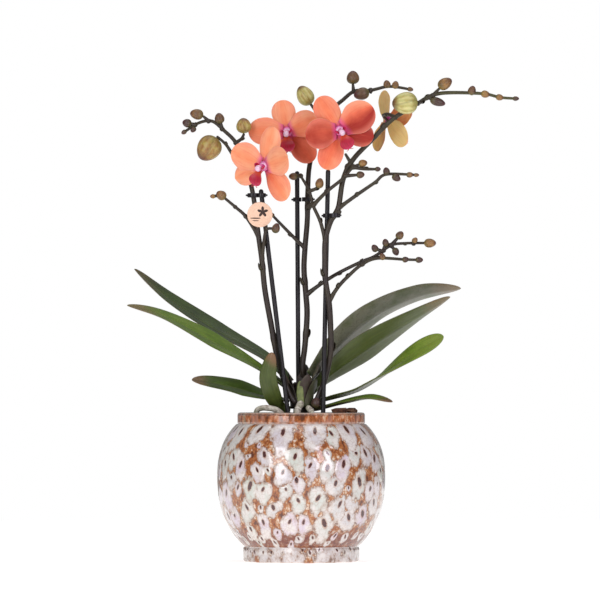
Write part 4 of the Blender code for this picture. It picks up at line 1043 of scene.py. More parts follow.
def green_skin(colours):
    """A flower spike's skin: smooth and slightly waxy, purple brown over olive, flecked with pale
    pores and faintly ridged lengthwise."""
    material, tree, place, along, across, seed, tone = start_finish(
        "flower spike skin", ("along", "across", "seed", "tone"), IOR=1.4, Coat_Weight=0.03,
        Coat_Roughness=0.3,
    )
    stem = tuple(colours.stem)
    ridge = streaks(tree, (along, across, seed), 40, 5, 3)
    cloud = add(tree, "TexNoise", {"Vector": place, "Scale": every(9), "Detail": 3})
    pores = add(tree, "TexVoronoi", {"Vector": place, "Scale": every(1.5)})
    level = add(tree, "Math", (cloud, 0.5, tone), operation="MULTIPLY_ADD")
    level = add(tree, "Math", (ridge, 0.3, level), operation="MULTIPLY_ADD")
    skin = add(tree, "ValToRGB", (level,), stops=(
        (0.3, toward(stem, "1A1216", 0.85)), (0.5, toward(stem, "30261F", 0.85)),
        (0.75, toward(stem, "3C3622", 0.9)), (1.0, toward(stem, "5A5C30", 0.95)),
    ))
    colour = layered(tree, skin, (linear("7E705C"), pores, 0.08, 0.18, 0.2, 0.0))
    height = add(tree, "Math", (pores, 0.3, ridge), operation="MULTIPLY_ADD")
    return end_finish(material, colour, height, 0.1, (cloud, 0.32, 0.5))


def bud_tissue(colours):
    """Bud tissue: taut and waxy, olive gold with mauve brown spread over it, faintly striped with
    cream along its veins and darker in its seams."""
    material, tree, place, along, across, seam, tone = start_finish(
        "bud tissue", ("along", "across", "seam", "tone"), IOR=1.43, Subsurface_Weight=0.08,
        Subsurface_Scale=1.5 * MM, Coat_Weight=0.08, Coat_Roughness=0.3,
    )
    gold = tuple(colours.bud)
    cloud = add(tree, "TexNoise", {"Vector": place, "Scale": every(5), "Detail": 3})
    grain = add(tree, "TexNoise", {"Vector": place, "Scale": every(0.9), "Detail": 3})
    level = add(tree, "Math", (cloud, 0.9, tone), operation="MULTIPLY_ADD")
    level = add(tree, "Math", (level, 0.15), operation="SUBTRACT")
    level = add(tree, "Math", (grain, 0.15, level), operation="MULTIPLY_ADD")
    level = add(tree, "Math", (level, 0.65), operation="MULTIPLY")
    skin = add(tree, "ValToRGB", (level,), stops=(
        (0.23, toward(gold, "C2BC74", 0.85)), (0.39, gold), (0.55, toward(gold, "96683A", 0.9)),
        (0.71, toward(gold, "6C4A34", 0.95)), (0.91, toward(gold, "40262A", 0.97)),
    ))

    # Cream stripes, strongest round the middle of a pale bud.
    stripe = add(tree, "Math", (across, 2 * math.pi * BUD_STRIPES), operation="MULTIPLY")
    stripe = add(tree, "Math", (cloud, 5.0, stripe), operation="MULTIPLY_ADD")
    stripe = add(tree, "Math", (stripe,), operation="SINE")
    stripe = add(tree, "MapRange", (stripe, -0.8, 0.9))
    middle = add(tree, "Math", (along, 1.0), operation="SUBTRACT")
    middle = add(tree, "Math", (middle, along), operation="MULTIPLY")
    middle = add(tree, "MapRange", (middle, -0.12, -0.22))
    light = add(tree, "MapRange", (tone, 0.0, 0.5, 0.55, 0.04))
    stripe = add(tree, "Math", (stripe, middle), operation="MULTIPLY")
    pale = add(tree, "Math", (stripe, light), operation="MULTIPLY")
    colour = layered(
        tree, skin, (toward(gold, "5E6A30", 0.85), along, 0.0, 0.4, 0.5, 0.0),
        (linear("E6DDA0"), pale), (linear("4E3A24"), seam, 0.3, 0.95, 0.0, 0.4),
        (linear("542226"), along, 0.76, 0.96, 0.0, 0.8),
    )
    height = add(tree, "Math", (stripe, 0.15, grain), operation="MULTIPLY_ADD")
    return end_finish(material, colour, height, 0.06, (cloud, 0.36, 0.52))


def leaf_sheath(colours):
    """The clasping foot of a leaf: ribbed lengthwise, from pale green to a dark purple brown."""
    material, tree, place, along, across, tone = start_finish(
        "clasping leaf sheath", ("along", "across", "tone"), IOR=1.45, Roughness=0.5
    )
    green = toward(colours.leaf, "8F9A5C", 0.9)
    rib = streaks(tree, (along, across, tone), 1.5, 9, 3)
    blotch = add(tree, "TexNoise", {"Vector": place, "Scale": every(3), "Detail": 3})
    level = add(tree, "Math", (blotch, 0.35, tone), operation="MULTIPLY_ADD")
    skin = add(tree, "ValToRGB", (level,), stops=(
        (0.12, toward(green, "B4BB84", 0.6)), (0.35, green), (0.58, linear("4F5236")),
        (0.8, linear("4A3A36")), (1.0, linear("231A18")),
    ))
    colour = layered(tree, skin, (linear("3A3A24"), rib, 0.45, 0.7, 0.0, 0.45))
    return end_finish(material, colour, rib, 0.25)


def velamen(colours):
    """An air root's dry velamen: a matt, silvery cream skin, wrinkled lengthwise, green where
    it shows through and grey pink where it is old."""
    material, tree, place, along, across, seed = start_finish(
        "dry velamen", ("along", "across", "seed"), Roughness=0.8
    )
    wrinkle = streaks(tree, (along, across, seed), 14, 7, 4)
    stain = add(tree, "TexNoise", {"Vector": place, "Scale": every(5), "Detail": 3})
    skin = add(tree, "ValToRGB", (wrinkle,), stops=(
        (0.35, linear("8F8578")), (0.52, linear("C4BBAC")), (0.68, linear("E0DACB")),
    ))
    colour = layered(
        tree, skin, (toward(colours.leaf, "9AA070", 0.85), stain, 0.52, 0.68, 0.0, 0.5),
        (linear("8E7468"), stain, 0.3, 0.42, 0.8, 0.0),
    )
    return end_finish(material, colour, wrinkle, 0.4)


def uncoated_card(colours):
    """Uncoated card, die cut: matt, with the faint mottle of its fibres."""
    material, tree, place = start_finish("uncoated card", Roughness=0.85)
    card = tuple(colours.card)
    laid = add(tree, "Mapping", {"Vector": place, "Scale": (1, 1, 0.4)})
    fibre = add(tree, "TexNoise", {"Vector": laid, "Scale": every(0.6), "Detail": 4})
    colour = add(tree, "ValToRGB", (fibre,), stops=(
        (0.3, toward(card, "E0B394", 0.5)), (0.6, card), (0.8, toward(card, "FFF0E0", 0.4)),
    ))
    return end_finish(material, colour, fibre, 0.04)


def printed_ink():
    """Offset ink on card: dark brown and matt, a little broken where fibres show."""
    material, tree, place = start_finish("offset ink", Roughness=0.7)
    broken = add(tree, "TexNoise", {"Vector": place, "Scale": every(0.4), "Detail": 3})
    colour = add(tree, "ValToRGB", (broken,), stops=((0.3, linear("2B1D18")), (0.7, linear("463028"))))
    return end_finish(material, colour, broken, 0.02)


def opal_acrylic(colours):
    """Opal acrylic, lit a little from below: matt and pale, so a shadow on it stays faint."""
    material, tree, place = start_finish(
        "lit opal acrylic", Roughness=0.8, Emission_Color=(1, 1, 1, 1), Emission_Strength=FLOOR_GLOW
    )
    cloud = add(tree, "TexNoise", {"Vector": place, "Scale": every(30), "Detail": 2})
    pale = tuple(colours.floor)
    colour = add(tree, "ValToRGB", (cloud,), stops=((0.3, toward(pale, "E4E4E4", 0.1)), (0.7, pale)))
    return end_finish(material, colour, cloud, 0.02)


# Glazed pot


def belly_reach(rise, radius, belly):
    """How far the belly's curve would run before closing, if it has this radius at this rise."""
    return rise / (1 - (radius / belly) ** BELLY_SQUARENESS) ** (1 / BELLY_SQUARENESS)


def pot_outline(pot, inset=0.0, steps=90):
    """The belly from the rim band down to the foot ring, moved in by the inset."""
    middle = pot.height * BELLY_LEVEL
    band_foot = pot.height - pot.rim_band
    upper = belly_reach(band_foot - middle, pot.rim_radius + GROOVE, pot.belly_radius)
    lower = belly_reach(middle - pot.foot_height, pot.foot_radius, pot.belly_radius)
    outline = []
    for step in range(steps + 1):
        z = band_foot - step / steps * (band_foot - pot.foot_height)
        level = abs(z - middle) / (upper if z > middle else lower)
        share = (1 - level**BELLY_SQUARENESS) ** (1 / BELLY_SQUARENESS)
        outline.append((pot.belly_radius * share - inset, z))
    return outline


def radius_at(outline, z):
    heights = [point[1] for point in outline]
    order = sorted(range(len(outline)), key=heights.__getitem__)
    return float(np.interp(z, [heights[at] for at in order], [outline[at][0] for at in order]))


def scatter_rings(pot, outline):
    """Where the glaze crawled into rings: angle, height, half width, half height, lean, size of
    the spot, its lean, and hue, the lower ones first so that upper ones droop over them."""
    draw = random.Random(5)
    band_foot = pot.height - pot.rim_band
    rings = []

    def sow(tries, low, high, widths, spacing, spot):
        for _ in range(tries):
            angle = draw.uniform(-math.pi, math.pi)
            z = draw.uniform(low, high)
            wide = draw.uniform(*widths) * MM
            tall = wide * draw.uniform(1.1, 1.55)
            girth = radius_at(outline, z)
            near = False
            for other in rings:
                turn = (angle - other[0] + math.pi) % (2 * math.pi) - math.pi
                apart = math.hypot(
                    turn * girth / (wide + other[2]), (z - other[1]) / (tall + other[3])
                )
                near = near or apart < spacing
            if not near:
                size = draw.uniform(*spot)
                rings.append((angle, z, wide, tall, draw.uniform(-0.25, 0.25), size,
                              draw.uniform(-0.5, 0.5), draw.random()))

    sow(200, band_foot - 9 * MM, band_foot - 5 * MM, (7.5, 10), 0.74, (0.14, 0.2))
    sow(900, 31 * MM, band_foot - 19 * MM, (6.2, 9.2), 0.76, (0.15, 0.25))
    sow(400, 24 * MM, band_foot - 16 * MM, (4.2, 5.8), 0.84, (0.16, 0.28))
    sow(900, 15 * MM, band_foot - 14 * MM, (2.4, 3.6), 0.95, (0.22, 0.36))
    sow(500, 8 * MM, 11.5 * MM, (1.5, 2.4), 1.5, (0.4, 0.55))
    return sorted(rings, key=lambda ring: ring[1])


def glaze_marks(pot, outline, angles, rows):
    """For each point of the outside: how far out of its ring it is, and out of the ring's spot."""
    turn, level = np.meshgrid(angles, [z for _, z in rows])
    girth = np.array([[radius] for radius, _ in rows])
    patches = np.sin(4 * turn + 1) * np.sin(9 * turn + 2) + 0.5 * np.sin(17 * turn)
    ring = np.where(level < pot.foot_height, 0.74 + 0.2 * np.maximum(patches, 0), 1.9)
    spot = np.full(turn.shape, 3.0)
    hue = np.full(turn.shape, 0.5)
    for angle, z, wide, tall, lean, size, spot_lean, tint in scatter_rings(pot, outline):
        aside = ((turn - angle + math.pi) % (2 * math.pi) - math.pi) * girth
        above = level - z
        across = (aside - lean * above) / wide
        rise = above / tall
        rise = np.where(rise > 0, rise * 1.15, rise * 0.9)
        bearing = np.arctan2(rise, across)
        wobble = 1 + 0.1 * np.sin(2 * bearing + 9 * tint) + 0.07 * np.sin(3 * bearing + 40 * tint)
        out = np.hypot(across, rise) * wobble
        inside = out < 1
        outer = (out < ring) & (ring > 1) & (level > pot.foot_height)
        over = above - 0.15 * tall
        core = np.hypot((aside - spot_lean * over) / (wide * size), over / (tall * size * 1.4))
        spot = np.where(inside, core, np.where(outer, 3.0, spot))
        hue = np.where(inside, tint, hue)
        ring = np.where(inside, out, np.where(outer, out, ring))
    return ring, spot, hue


def pot_profile(pot):
    """The pot's profile from the middle of its floor over the rim to the middle of its foot, as
    (radius, height) points in three parts: what is inside the middle of the rim, the rim band,
    and the outside below it. The belly's inside is wider than the rim, so it is in the band's part."""
    band_foot = pot.height - pot.rim_band
    rim_inside = pot.rim_radius - pot.wall
    inside = [point for point in reversed(pot_outline(pot, pot.wall, 12)) if point[1] > FLOOR]
    bowl = rounded([
        (0, FLOOR), (inside[0][0] * 0.5, FLOOR), (inside[0][0], FLOOR), *inside[1:-1],
        (rim_inside, band_foot - 2 * MM), (rim_inside, pot.height), (pot.rim_radius, pot.height),
        (pot.rim_radius, band_foot + GROOVE * 2),
    ], POT_SOFTNESS, 3)
    rim_middle = rim_inside + pot.wall * 0.5
    inner = [point for point in bowl if point[0] <= rim_middle]
    band = [point for point in bowl if point[0] > rim_middle]
    low = band.pop()[1]
    high = pot.height - 2 * MM
    band += [(pot.rim_radius, low + (high - low) * (1 - step / 8)) for step in range(9)]
    band += [
        (pot.rim_radius, band_foot + GROOVE), (pot.rim_radius - GROOVE * 0.55, band_foot + GROOVE * 0.4)
    ]
    foot = rounded([
        (pot.foot_radius - GROOVE, pot.foot_height - GROOVE * 0.4),
        (pot.foot_radius, pot.foot_height - 2.4 * MM), (pot.foot_radius, 0),
        (pot.foot_radius * 0.9, 0), (pot.foot_radius * 0.86, 1.5 * MM), (0, 1.5 * MM),
    ], POT_SOFTNESS, 6)
    outside = pot_outline(pot)
    for (radius, z), (_, lower) in zip(foot, foot[1:]):
        steps = 8 if z - lower > 3 * MM else 1
        outside += [(radius, z + (lower - z) * step / steps) for step in range(steps)]
    return inner, band, outside + foot[-1:]


def make_pot(shape, pot):
    """The pot's turned body, with its glaze rings standing proud of the ground between them."""
    inner, band, outside = pot_profile(pot)
    edge_low = pot.height - pot.rim_band + GROOVE
    angles = [angle - math.pi for angle in around(POT_SIDES)]
    ring, spot, hue = glaze_marks(pot, pot_outline(pot) + [(pot.foot_radius, 0)], angles, outside)
    bare = {"ring": 0.5, "spot": 3.0, "hue": 0.4, "edge": 0.0, "deep": 0.0}

    def glazed(at, step, z):
        """How far a point of the outside stands proud, and its marks."""
        marks = dict(
            bare, ring=float(ring[at, step]), spot=float(spot[at, step]), hue=float(hue[at, step]),
            deep=0.75 * hump(z - pot.foot_height - 6 * MM, 7 * MM),
        )
        cover = min(max((1.06 - marks["ring"]) / 0.3, 0), 1)
        proud = pot.glaze_relief * (cover * cover * (3 - 2 * cover) - 1)
        return proud * min(1, z / (3 * MM)), marks

    def run_thin(radius, angle, z):
        """How far a point of the band stands proud, and its marks."""
        flow = noise.noise(
            Vector((radius * math.cos(angle) * 300, radius * math.sin(angle) * 300, z * 60))
        )
        # A pale painted highlight along the rim's top edge and just above the groove below the band.
        edge = hump(z - pot.height, 0.9 * MM) * 0.8
        edge += 0.9 * hump(z - edge_low, 0.7 * MM) * (0.5 + flow)
        return -0.1 * MM * (1 - flow), dict(bare, edge=edge)

    before = []
    for part, points in (("inner", inner), ("band", band), ("outside", outside)):
        rows = []
        for at, (radius, z) in enumerate(points):
            if radius == 0:
                rows.append(round_row(shape, radius, z, 1, **dict(bare, hue=0.5)))
                continue
            row = []
            for step, angle in enumerate(angles):
                proud, marks = 0.0, bare
                if part == "outside":
                    proud, marks = glazed(at, step, z)
                elif part == "band":
                    proud, marks = run_thin(radius, angle, z)
                row.append(shape.point(polar(radius + proud, angle, z), **marks))
            rows.append(row)
        shape.skin(before + rows, 1 if part == "band" else 0)
        before = rows[-1:]


def make_grow_pot(shape, pot):
    """The thin grow pot: tapered, with a stepped rim and a lip."""
    rim = pot.height - GROW_POT_DROP
    outer = GROW_POT_RIM
    body = outer - GROW_POT_LIP
    base = outer * GROW_POT_TAPER
    wall = GROW_POT_WALL
    foot = FLOOR + GAP
    profile = rounded([
        (0, foot + wall), (base - wall, foot + wall), (body - wall, rim - GROW_POT_LIP_HEIGHT),
        (outer - wall, rim - GROW_POT_LIP_HEIGHT * 0.6), (outer - wall, rim), (outer, rim),
        (outer, rim - GROW_POT_LIP_HEIGHT), (body, rim - GROW_POT_LIP_HEIGHT), (base, foot),
        (0, foot),
    ], 0.6 * MM, 4)
    turned(shape, profile, GROW_POT_SIDES)


# Bark, crown and roots


def mound_height(x, y, pot):
    """The top of the bark: highest in the middle, and lumpy."""
    rim = pot.height - GROW_POT_DROP
    reach = math.hypot(x, y) / (GROW_POT_RIM - GROW_POT_LIP)
    lump = noise.noise(Vector((x, y, 0)) / (9 * MM)) * 0.8 * MM
    return rim + BARK_MOUND * (1 - 1.5 * reach**2) + lump - 1.6 * MM


def make_chip(shape, middle, sizes, turn, draw):
    """One chip: the hull of a few points near a flattened box, so it has flat broken faces."""
    chip = bmesh.new()
    for _ in range(CHIP_CORNERS):
        spot = [draw.uniform(-1, 1) for _ in range(3)]
        largest = max(abs(value) for value in spot)
        spot = [value / largest * (0.84 + 0.16 * draw.random()) for value in spot]
        chip.verts.new([value * size / 2 for value, size in zip(spot, sizes)])
    bmesh.ops.convex_hull(chip, input=chip.verts)
    bmesh.ops.delete(chip, geom=[v for v in chip.verts if not v.link_faces], context="VERTS")
    bmesh.ops.bevel(
        chip, geom=list(chip.edges), offset=CHIP_WEAR, segments=1, affect="EDGES", clamp_overlap=True
    )
    chip.verts.index_update()
    tone = draw.random()
    first = len(shape.points)
    for vertex in chip.verts:
        rough = noise.noise_vector(vertex.co / (2.5 * MM) + Vector((turn, 0, tone * 9))) * CHIP_WEAR
        place = Matrix.Rotation(turn, 3, "Z") @ (vertex.co + rough)
        shape.point(middle + place, tone=tone)
    for face in chip.faces:
        shape.face([first + vertex.index for vertex in face.verts])
    chip.free()


def make_bark(shape, pot):
    """A bed of bark up to its lumpy top, with loose chips over it."""
    foot = FLOOR + GAP + GROW_POT_WALL + GAP
    base = GROW_POT_RIM * GROW_POT_TAPER - GROW_POT_WALL - GAP
    top = GROW_POT_RIM - GROW_POT_LIP - GROW_POT_WALL - GAP
    rows = []
    for step in range(BED_RINGS + 1):
        radius = top * step / BED_RINGS
        row = []
        for angle in around(BED_SIDES) if step else (0,):
            x, y = radius * math.cos(angle), radius * math.sin(angle)
            row.append(shape.point(Vector((x, y, mound_height(x, y, pot))), tone=0.1))
        rows.append(row)
    for radius, z in ((top, pot.height - 14 * MM), (base, foot), (0, foot)):
        rows.append(round_row(shape, radius, z, BED_SIDES, tone=0.1))
    shape.skin(rows)
    draw = random.Random(3)
    for at in range(CHIPS_ON_TOP):
        radius = (top - 4 * MM) * math.sqrt((at + 0.5) / CHIPS_ON_TOP)
        angle = at * GOLDEN_ANGLE + draw.uniform(-0.2, 0.2)
        x, y = radius * math.cos(angle), radius * math.sin(angle)
        if math.hypot(x, y) < CROWN_CLEAR:
            continue
        sizes = [draw.uniform(*bounds) * MM for bounds in ((6, 12), (4, 7.5), (2, 3.6))]
        middle = Vector((x, y, mound_height(x, y, pot) + 0.5 * MM))
        make_chip(shape, middle, sizes, draw.uniform(0, math.pi), draw)


def make_crown(shape):
    """The short stem with the feet of its leaves clasped round it."""
    base = POT_HIGH[2] - CROWN_DEPTH
    rise = CROWN_DEPTH + CROWN_TOP
    levels = ((0.96, 0.4), (0.86, 0.66), (0.62, 0.94), (0.3, 1.0), (0.12, 0.95), (0.02, 0.8))
    profile = [
        (0, base + rise), *[(CROWN_RADIUS * width, base + rise * level) for level, width in levels],
        (0, base),
    ]
    turned(shape, rounded(profile, 3 * MM, 4), CROWN_SIDES)
    for marks in shape.marks:
        marks["tone"] = 0.8
    for outward, low, high, spread, proud, flare, tone in SHEATHS:

        def place(along, across):
            z = POT_HIGH[2] + (low + (high - low) * along * (1 - 0.3 * across**2)) * MM
            reach = CROWN_RADIUS + (proud + flare * along**2 - 0.6 * across**2) * MM
            angle = math.radians(outward + across * spread * (1 - 0.4 * along))
            return polar(reach, angle, z)

        blade(shape, place, 14, 16, 1.2 * MM, seed=proud, tone=tone)


def make_root(shape, points, radius):
    path = smooth_path(points, 8)

    def thickness(share):
        lump = noise.noise(Vector((share * 9, radius, 0)))
        return radius * MM * (1 - 0.2 * share) * (1 + 0.08 * lump)

    tube(shape, path, thickness, 20, seed=radius)


# Leaves


def make_leaf(shape, name, plant):
    """A thick blade: a channel along its midrib, a keel below, and a margin that waves a little."""
    points, half_width, rolls, fold, tone, mauve, brown = LEAVES[name]
    path = smooth_path(points, 14)
    shares = path_shares(path)
    leans_left = path[1].x < path[0].x
    inner_face = Vector(LEAF_FACES.get(name, (0, 0, 1)))
    phase = 7 * half_width + len(name)

    def place(along, across):
        share = min(along, 1)
        middle, forward = along_path(path, shares, share)
        up = (inner_face - forward * inner_face.dot(forward)).normalized()
        side = up.cross(forward) if leans_left else forward.cross(up)
        first, last = (0, 1) if share < 0.5 else (1, 2)
        roll = rolls[first] + (rolls[last] - rolls[first]) * (share * 2 - first)
        roll = math.radians(roll)
        edge = side * math.cos(roll) + up * math.sin(roll)
        face = up * math.cos(roll) - side * math.sin(roll)
        width = half_width * MM * taper(share, LEAF_BASE, LEAF_WIDEST, 0.03)
        rise = math.sin(math.radians(fold)) * (math.sqrt(across**2 + 0.01) - 0.1)
        wave = 0.035 * across**2 * math.sin(9 * share + phase + 1.5 * across)
        channel = -0.5 * MM * hump(across, 0.09) * (1 - share**4)
        return middle + edge * across * width + face * ((rise + wave) * width + channel)

    blade(
        shape, place, 56, 22, plant.leaf_thickness, flip=leans_left, seed=phase, tone=tone,
        mauve=mauve, brown=brown,
    )


# Spikes and buds


def make_bract(shape, path, shares, share, size, turn, tone, finish=0):
    """A dry scale that half wraps the stem at a joint."""
    middle, forward = along_path(path, shares, share)
    side = forward.orthogonal().normalized()
    side = Matrix.Rotation(turn, 3, forward) @ side
    other = forward.cross(side)

    def place(along, across):
        spread = math.radians(80) * across * math.sqrt(max(1 - along**1.6, 0.004))
        out = size * (1.12 + 0.9 * along * (1 - along) + 0.15 * along)
        round_it = side * math.cos(spread) + other * math.sin(spread)
        return middle + round_it * out + forward * (along * 2.6 - 0.5) * size

    blade(shape, place, 7, 8, 0.35 * MM, finish, seed=turn, tone=tone)


def make_spike(shape, plan, plant):
    """A spike: its stem with joints, its branches, a scale at each joint, and its small buds."""
    path = smooth_path(plan["stem"], 10)
    shares = path_shares(path)
    green = plan["green"]
    foot, tip = plant.spike_foot_radius, plant.spike_tip_radius

    def girth(share):
        joints = sum(hump(share - knot, 0.009) for knot in plan["knots"])
        return (foot + (tip - foot) * share**2.4) * (1 + 0.16 * joints)

    tube(shape, path, girth, 20, seed=1.0, tone=0.0)
    for index, marks in enumerate(shape.marks):
        marks["tone"] = green * max(0.0, marks["along"] - 0.3) + 0.08
    for index, knot in enumerate(plan["knots"]):
        make_bract(shape, path, shares, knot - 0.004, girth(knot) / 1.05, 2.4 * index, 0.25)
    for index, points in enumerate(plan["branches"]):
        branch = smooth_path(points, 6)
        reach = path_shares(branch)
        start, end = plant.branch_radius, plant.spike_tip_radius

        def slim(share, start=start, end=end):
            return (start + (end - start) * share) * (1 + 0.35 * hump(share, 0.06))

        tube(shape, branch, slim, 12, seed=2.0 + index, tone=0.1 + 0.2 * green)
        for at, share in enumerate(reach[6:-1:6]):
            make_bract(shape, branch, reach, share, slim(share), 3.1 * at + index, 0.25)
    for index, (middle, length, width, direction) in enumerate(plan["buds"]):
        tone = 0.9 + 0.35 * math.sin(5.3 * index)
        egg(shape, on_plant(middle), length * MM, width * MM, direction, 12, 0.22 * MM, 1, tone=tone)
    if "swelling" in plan:
        middle, length, width, direction = plan["swelling"]
        egg(shape, on_plant(middle), length * MM, width * MM, direction, 16, 0.0, 1, tone=1.5)


# Flowers


def flower_frame(facing, turn):
    """The flower's outward, up and right directions, as someone looking at its face sees them."""
    out = Vector(facing).normalized()
    upright = (Vector((0, 0, 1)) - out * out.z).normalized()
    right = upright.cross(out)
    turn = math.radians(turn)
    up = upright * math.cos(turn) + right * math.sin(turn)
    return out, up, up.cross(out)


def make_petal(shape, centre, frame, plan, part, plant, phase):
    """A petal or sepal: narrow at its claw, full beyond it, with a soft channel and a waved margin."""
    out, up, right = frame
    angle, length, width, reach, base_tone_and_shade, tip_tone_and_shade, slope = plan
    angle = math.radians(angle)
    length, width, reach = length * MM, width * MM, reach * MM
    away = up * math.cos(angle) + right * math.sin(angle)
    beside = right * math.cos(angle) - up * math.sin(angle)
    narrow, widest = OUTLINES[part]
    setback = SETBACKS.get(part, 0) * MM
    ruffle = plant.petal_ruffle * (0.45 if setback else 1.0)

    def place(along, across):
        half = width / 2 * taper(along, narrow, widest, 0.02)
        wave = ruffle * across**2 * math.sin(5 * along + phase) * min(1, along * 2)
        wave += 0.5 * ruffle * abs(across) ** 3 * math.sin(13 * along + 4 * across + 2 * phase)
        channel = -0.55 * MM * hump(across, 0.13) * (1 - along)
        cup = 0.1 * width * (1 - across**2) * math.sin(math.pi * min(along * 1.1, 1)) * 0.5
        forward = reach * along**2 - setback - across**2 * 0.6 * MM + wave + channel + cup - 0.6 * MM
        return (
            centre
            + away * (TEPAL_START + along * length)
            + beside * across * half
            + out * forward
        )

    first = len(shape.points)
    blade(shape, place, 34, 26, plant.petal_thickness, seed=phase, tone=0.0)
    for marks in shape.marks[first:]:
        # The tone is partly painted shade, and its slope darkens one side of the blade as painted shade.
        marks["tone"] = base_tone_and_shade + (tip_tone_and_shade - base_tone_and_shade) * marks["along"] ** 0.8
        marks["tone"] += slope * marks["across"]


def make_lip(shape, centre, frame, plant):
    """The lip: two side lobes that stand up round the column, a spade-shaped middle lobe with two
    whiskers, a callus at its claw, and the column with its cap above."""
    out, up, right = frame
    length = plant.lip_length

    def middle_lobe(along, across):
        drop = length * (0.12 + 0.88 * along)
        flare = 0.28 + 0.72 * math.sin(math.pi * min(along / 0.62, 1) / 2) ** 2
        close = math.sqrt(max(1 - max((along - 0.62) / 0.38, 0) ** 2, 0.002))
        half = LIP_WIDTH / 2 * flare * close
        forward = COLUMN_LENGTH * (0.25 + 0.75 * math.sin(math.pi * 0.72 * along))
        cup = 1.6 * MM * across**2 * (1 - along)
        return centre - up * drop + right * across * half + out * (forward + cup)

    blade(shape, middle_lobe, 24, 16, 1.0 * MM, 0, seed=1.0, tone=0.0)
    for side in (-1, 1):
        def side_lobe(along, across, side=side):
            spread = side * (1.4 + 4.6 * along - 1.2 * along**2) * MM
            lift = (-2.4 + 4.4 * along) * MM
            depth = COLUMN_LENGTH * (0.35 + 0.45 * along)
            half = 2.6 * MM * taper(along, 0.4, 0.6, 0.05)
            curl = 1.2 * MM * across**2
            return (
                centre + right * (spread - side * curl) + up * (lift - across * half * 0.4)
                + out * (depth + across * half)
            )

        blade(shape, side_lobe, 12, 10, 0.8 * MM, 0, seed=2.0 + side, tone=0.0)
        tip = centre - up * length * 0.97 + out * COLUMN_LENGTH * 0.8
        whisker = [
            tip + (right * side * (0.4 + 2.6 * share) - up * (1.2 * math.sin(2.2 * share))
                   + out * (1.6 * share)) * MM
            for share in (0, 0.25, 0.5, 0.75, 1)
        ]
        tube(shape, whisker, lambda share: (0.42 - 0.25 * share) * MM, 8, 0, seed=1.0, tone=0.0)
    egg(shape, centre - out * 1.2 * MM, 3.2 * MM, 8.2 * MM, tuple(out), 14, 0.0, 1)
    for marks in shape.marks:
        marks.setdefault("tone", 0.0)
    callus = centre - up * 2.6 * MM + out * COLUMN_LENGTH * 0.55
    egg(shape, callus, 3.6 * MM, 3.0 * MM, tuple(out - up * 0.4), 10, 0.3 * MM, 0, tone=0.0)
    path = [
        centre - out * 1.2 * MM + out * (COLUMN_LENGTH + 0.8 * MM) * share - up * 1.0 * MM * share**2
        for share in (0, 0.2, 0.4, 0.6, 0.8, 1)
    ]
    tube(shape, path, lambda share: (1.9 + 0.6 * share**2) * MM, 20, 1, seed=3.0)
    cap = path[-1] - up * 0.5 * MM
    egg(shape, cap, 4.4 * MM, 5.4 * MM, tuple(out * 0.8 - up * 0.6), 14, 0.35 * MM, 1)


# Stakes, clips and tag


def stake_ends(side):
    foot, top = (on_plant(point) for point in STAKES[side])
    slope = (top - foot) / (top.z - foot.z)
    return foot - slope * STAKE_DEPTH, top


def make_stake(shape, side, plant):
    """A straight round stake with a blunt top and a point."""
    low, high = stake_ends(side)
    length = (high - low).length
    shares = (0, 0.01, 0.02, 0.03, *[0.04 + 0.06 * step for step in range(16)])
    path = [low.lerp(high, share) for share in shares]
    path.append(high - (high - low).normalized() * plant.stake_radius * 0.98)

    def girth(share):
        tip = min(1, 0.25 + share * length / STAKE_POINT)
        return plant.stake_radius * tip * (1 + 0.02 * math.sin(70 * share))

    tube(shape, path, girth, 24, tone=0.0)


def band_section(height, softness):
    """A band's cross-section, as points out from its hole and up."""
    half = height / 2
    corners = [(0, -half), (CLIP_WALL, -half), (CLIP_WALL, half), (0, half), (0, 0)]
    return rounded(corners, softness, 3)[:-1]


def make_clip(shape, side, plant):
    """A snap clip: a slit band round the stake and another round the stem, with a thumb tab at each
    end of both."""
    level = POT_HIGH[2] + CLIP_LEVELS[side] * MM
    stake = at_height(stake_ends(side), level)
    stem = at_height(smooth_path(SPIKES[f"spike_{side}"]["stem"], 10), level)
    between = (stem - stake).to_2d()
    turn = Matrix.Rotation(math.atan2(between.y, between.x), 3, "Z")
    for distance, hole, gap_at in (
        (0.0, plant.stake_radius + HOLE_CLEARANCE, math.pi),
        (between.length, plant.spike_foot_radius + STEM_CLEARANCE, 0.0),
    ):
        middle = Vector((distance, 0, 0))
        opening = CLIP_SLIT / hole
        rows = []
        for step in range(CLIP_STEPS + 1):
            angle = gap_at + opening / 2 + (2 * math.pi - opening) * step / CLIP_STEPS
            rows.append([
                shape.point(stake + turn @ (middle + polar(hole + out, angle, z)))
                for out, z in band_section(CLIP_HEIGHT, 0.35 * MM)
            ])
        shape.skin(rows)
        shape.face(list(rows[0]))
        shape.face(list(rows[-1]))
        for end in (-1, 1):
            angle = gap_at + end * (opening / 2 + 0.05)
            start = middle + polar(hole + CLIP_WALL * 0.4, angle)
            flare = Vector((math.cos(gap_at), math.copysign(0.35, math.sin(angle)), 0))
            path = [stake + turn @ (start + flare * reach * MM) for reach in (-0.2, 0.3, 0.8, 1.3)]
            tube(shape, path, lambda share: 0.75 * CLIP_WALL, 12)


def disc(shape, middle, radius, thickness, sides, finish=0, squash=1.0, turn=0.0):
    """A flat round plate that faces the front, with a softened edge."""
    half = thickness / 2
    profile = rounded([(0, -half), (radius, -half), (radius, half), (0, half)], thickness * 0.4, 3)
    rows = []
    for out, depth in profile:
        row = []
        for angle in around(sides) if out else (0,):
            x, z = out * math.cos(angle), out * math.sin(angle) * squash
            spot = Vector((x * math.cos(turn) - z * math.sin(turn), depth,
                           x * math.sin(turn) + z * math.cos(turn)))
            row.append(shape.point(middle + spot))
        rows.append(row)
    shape.skin(rows, finish)


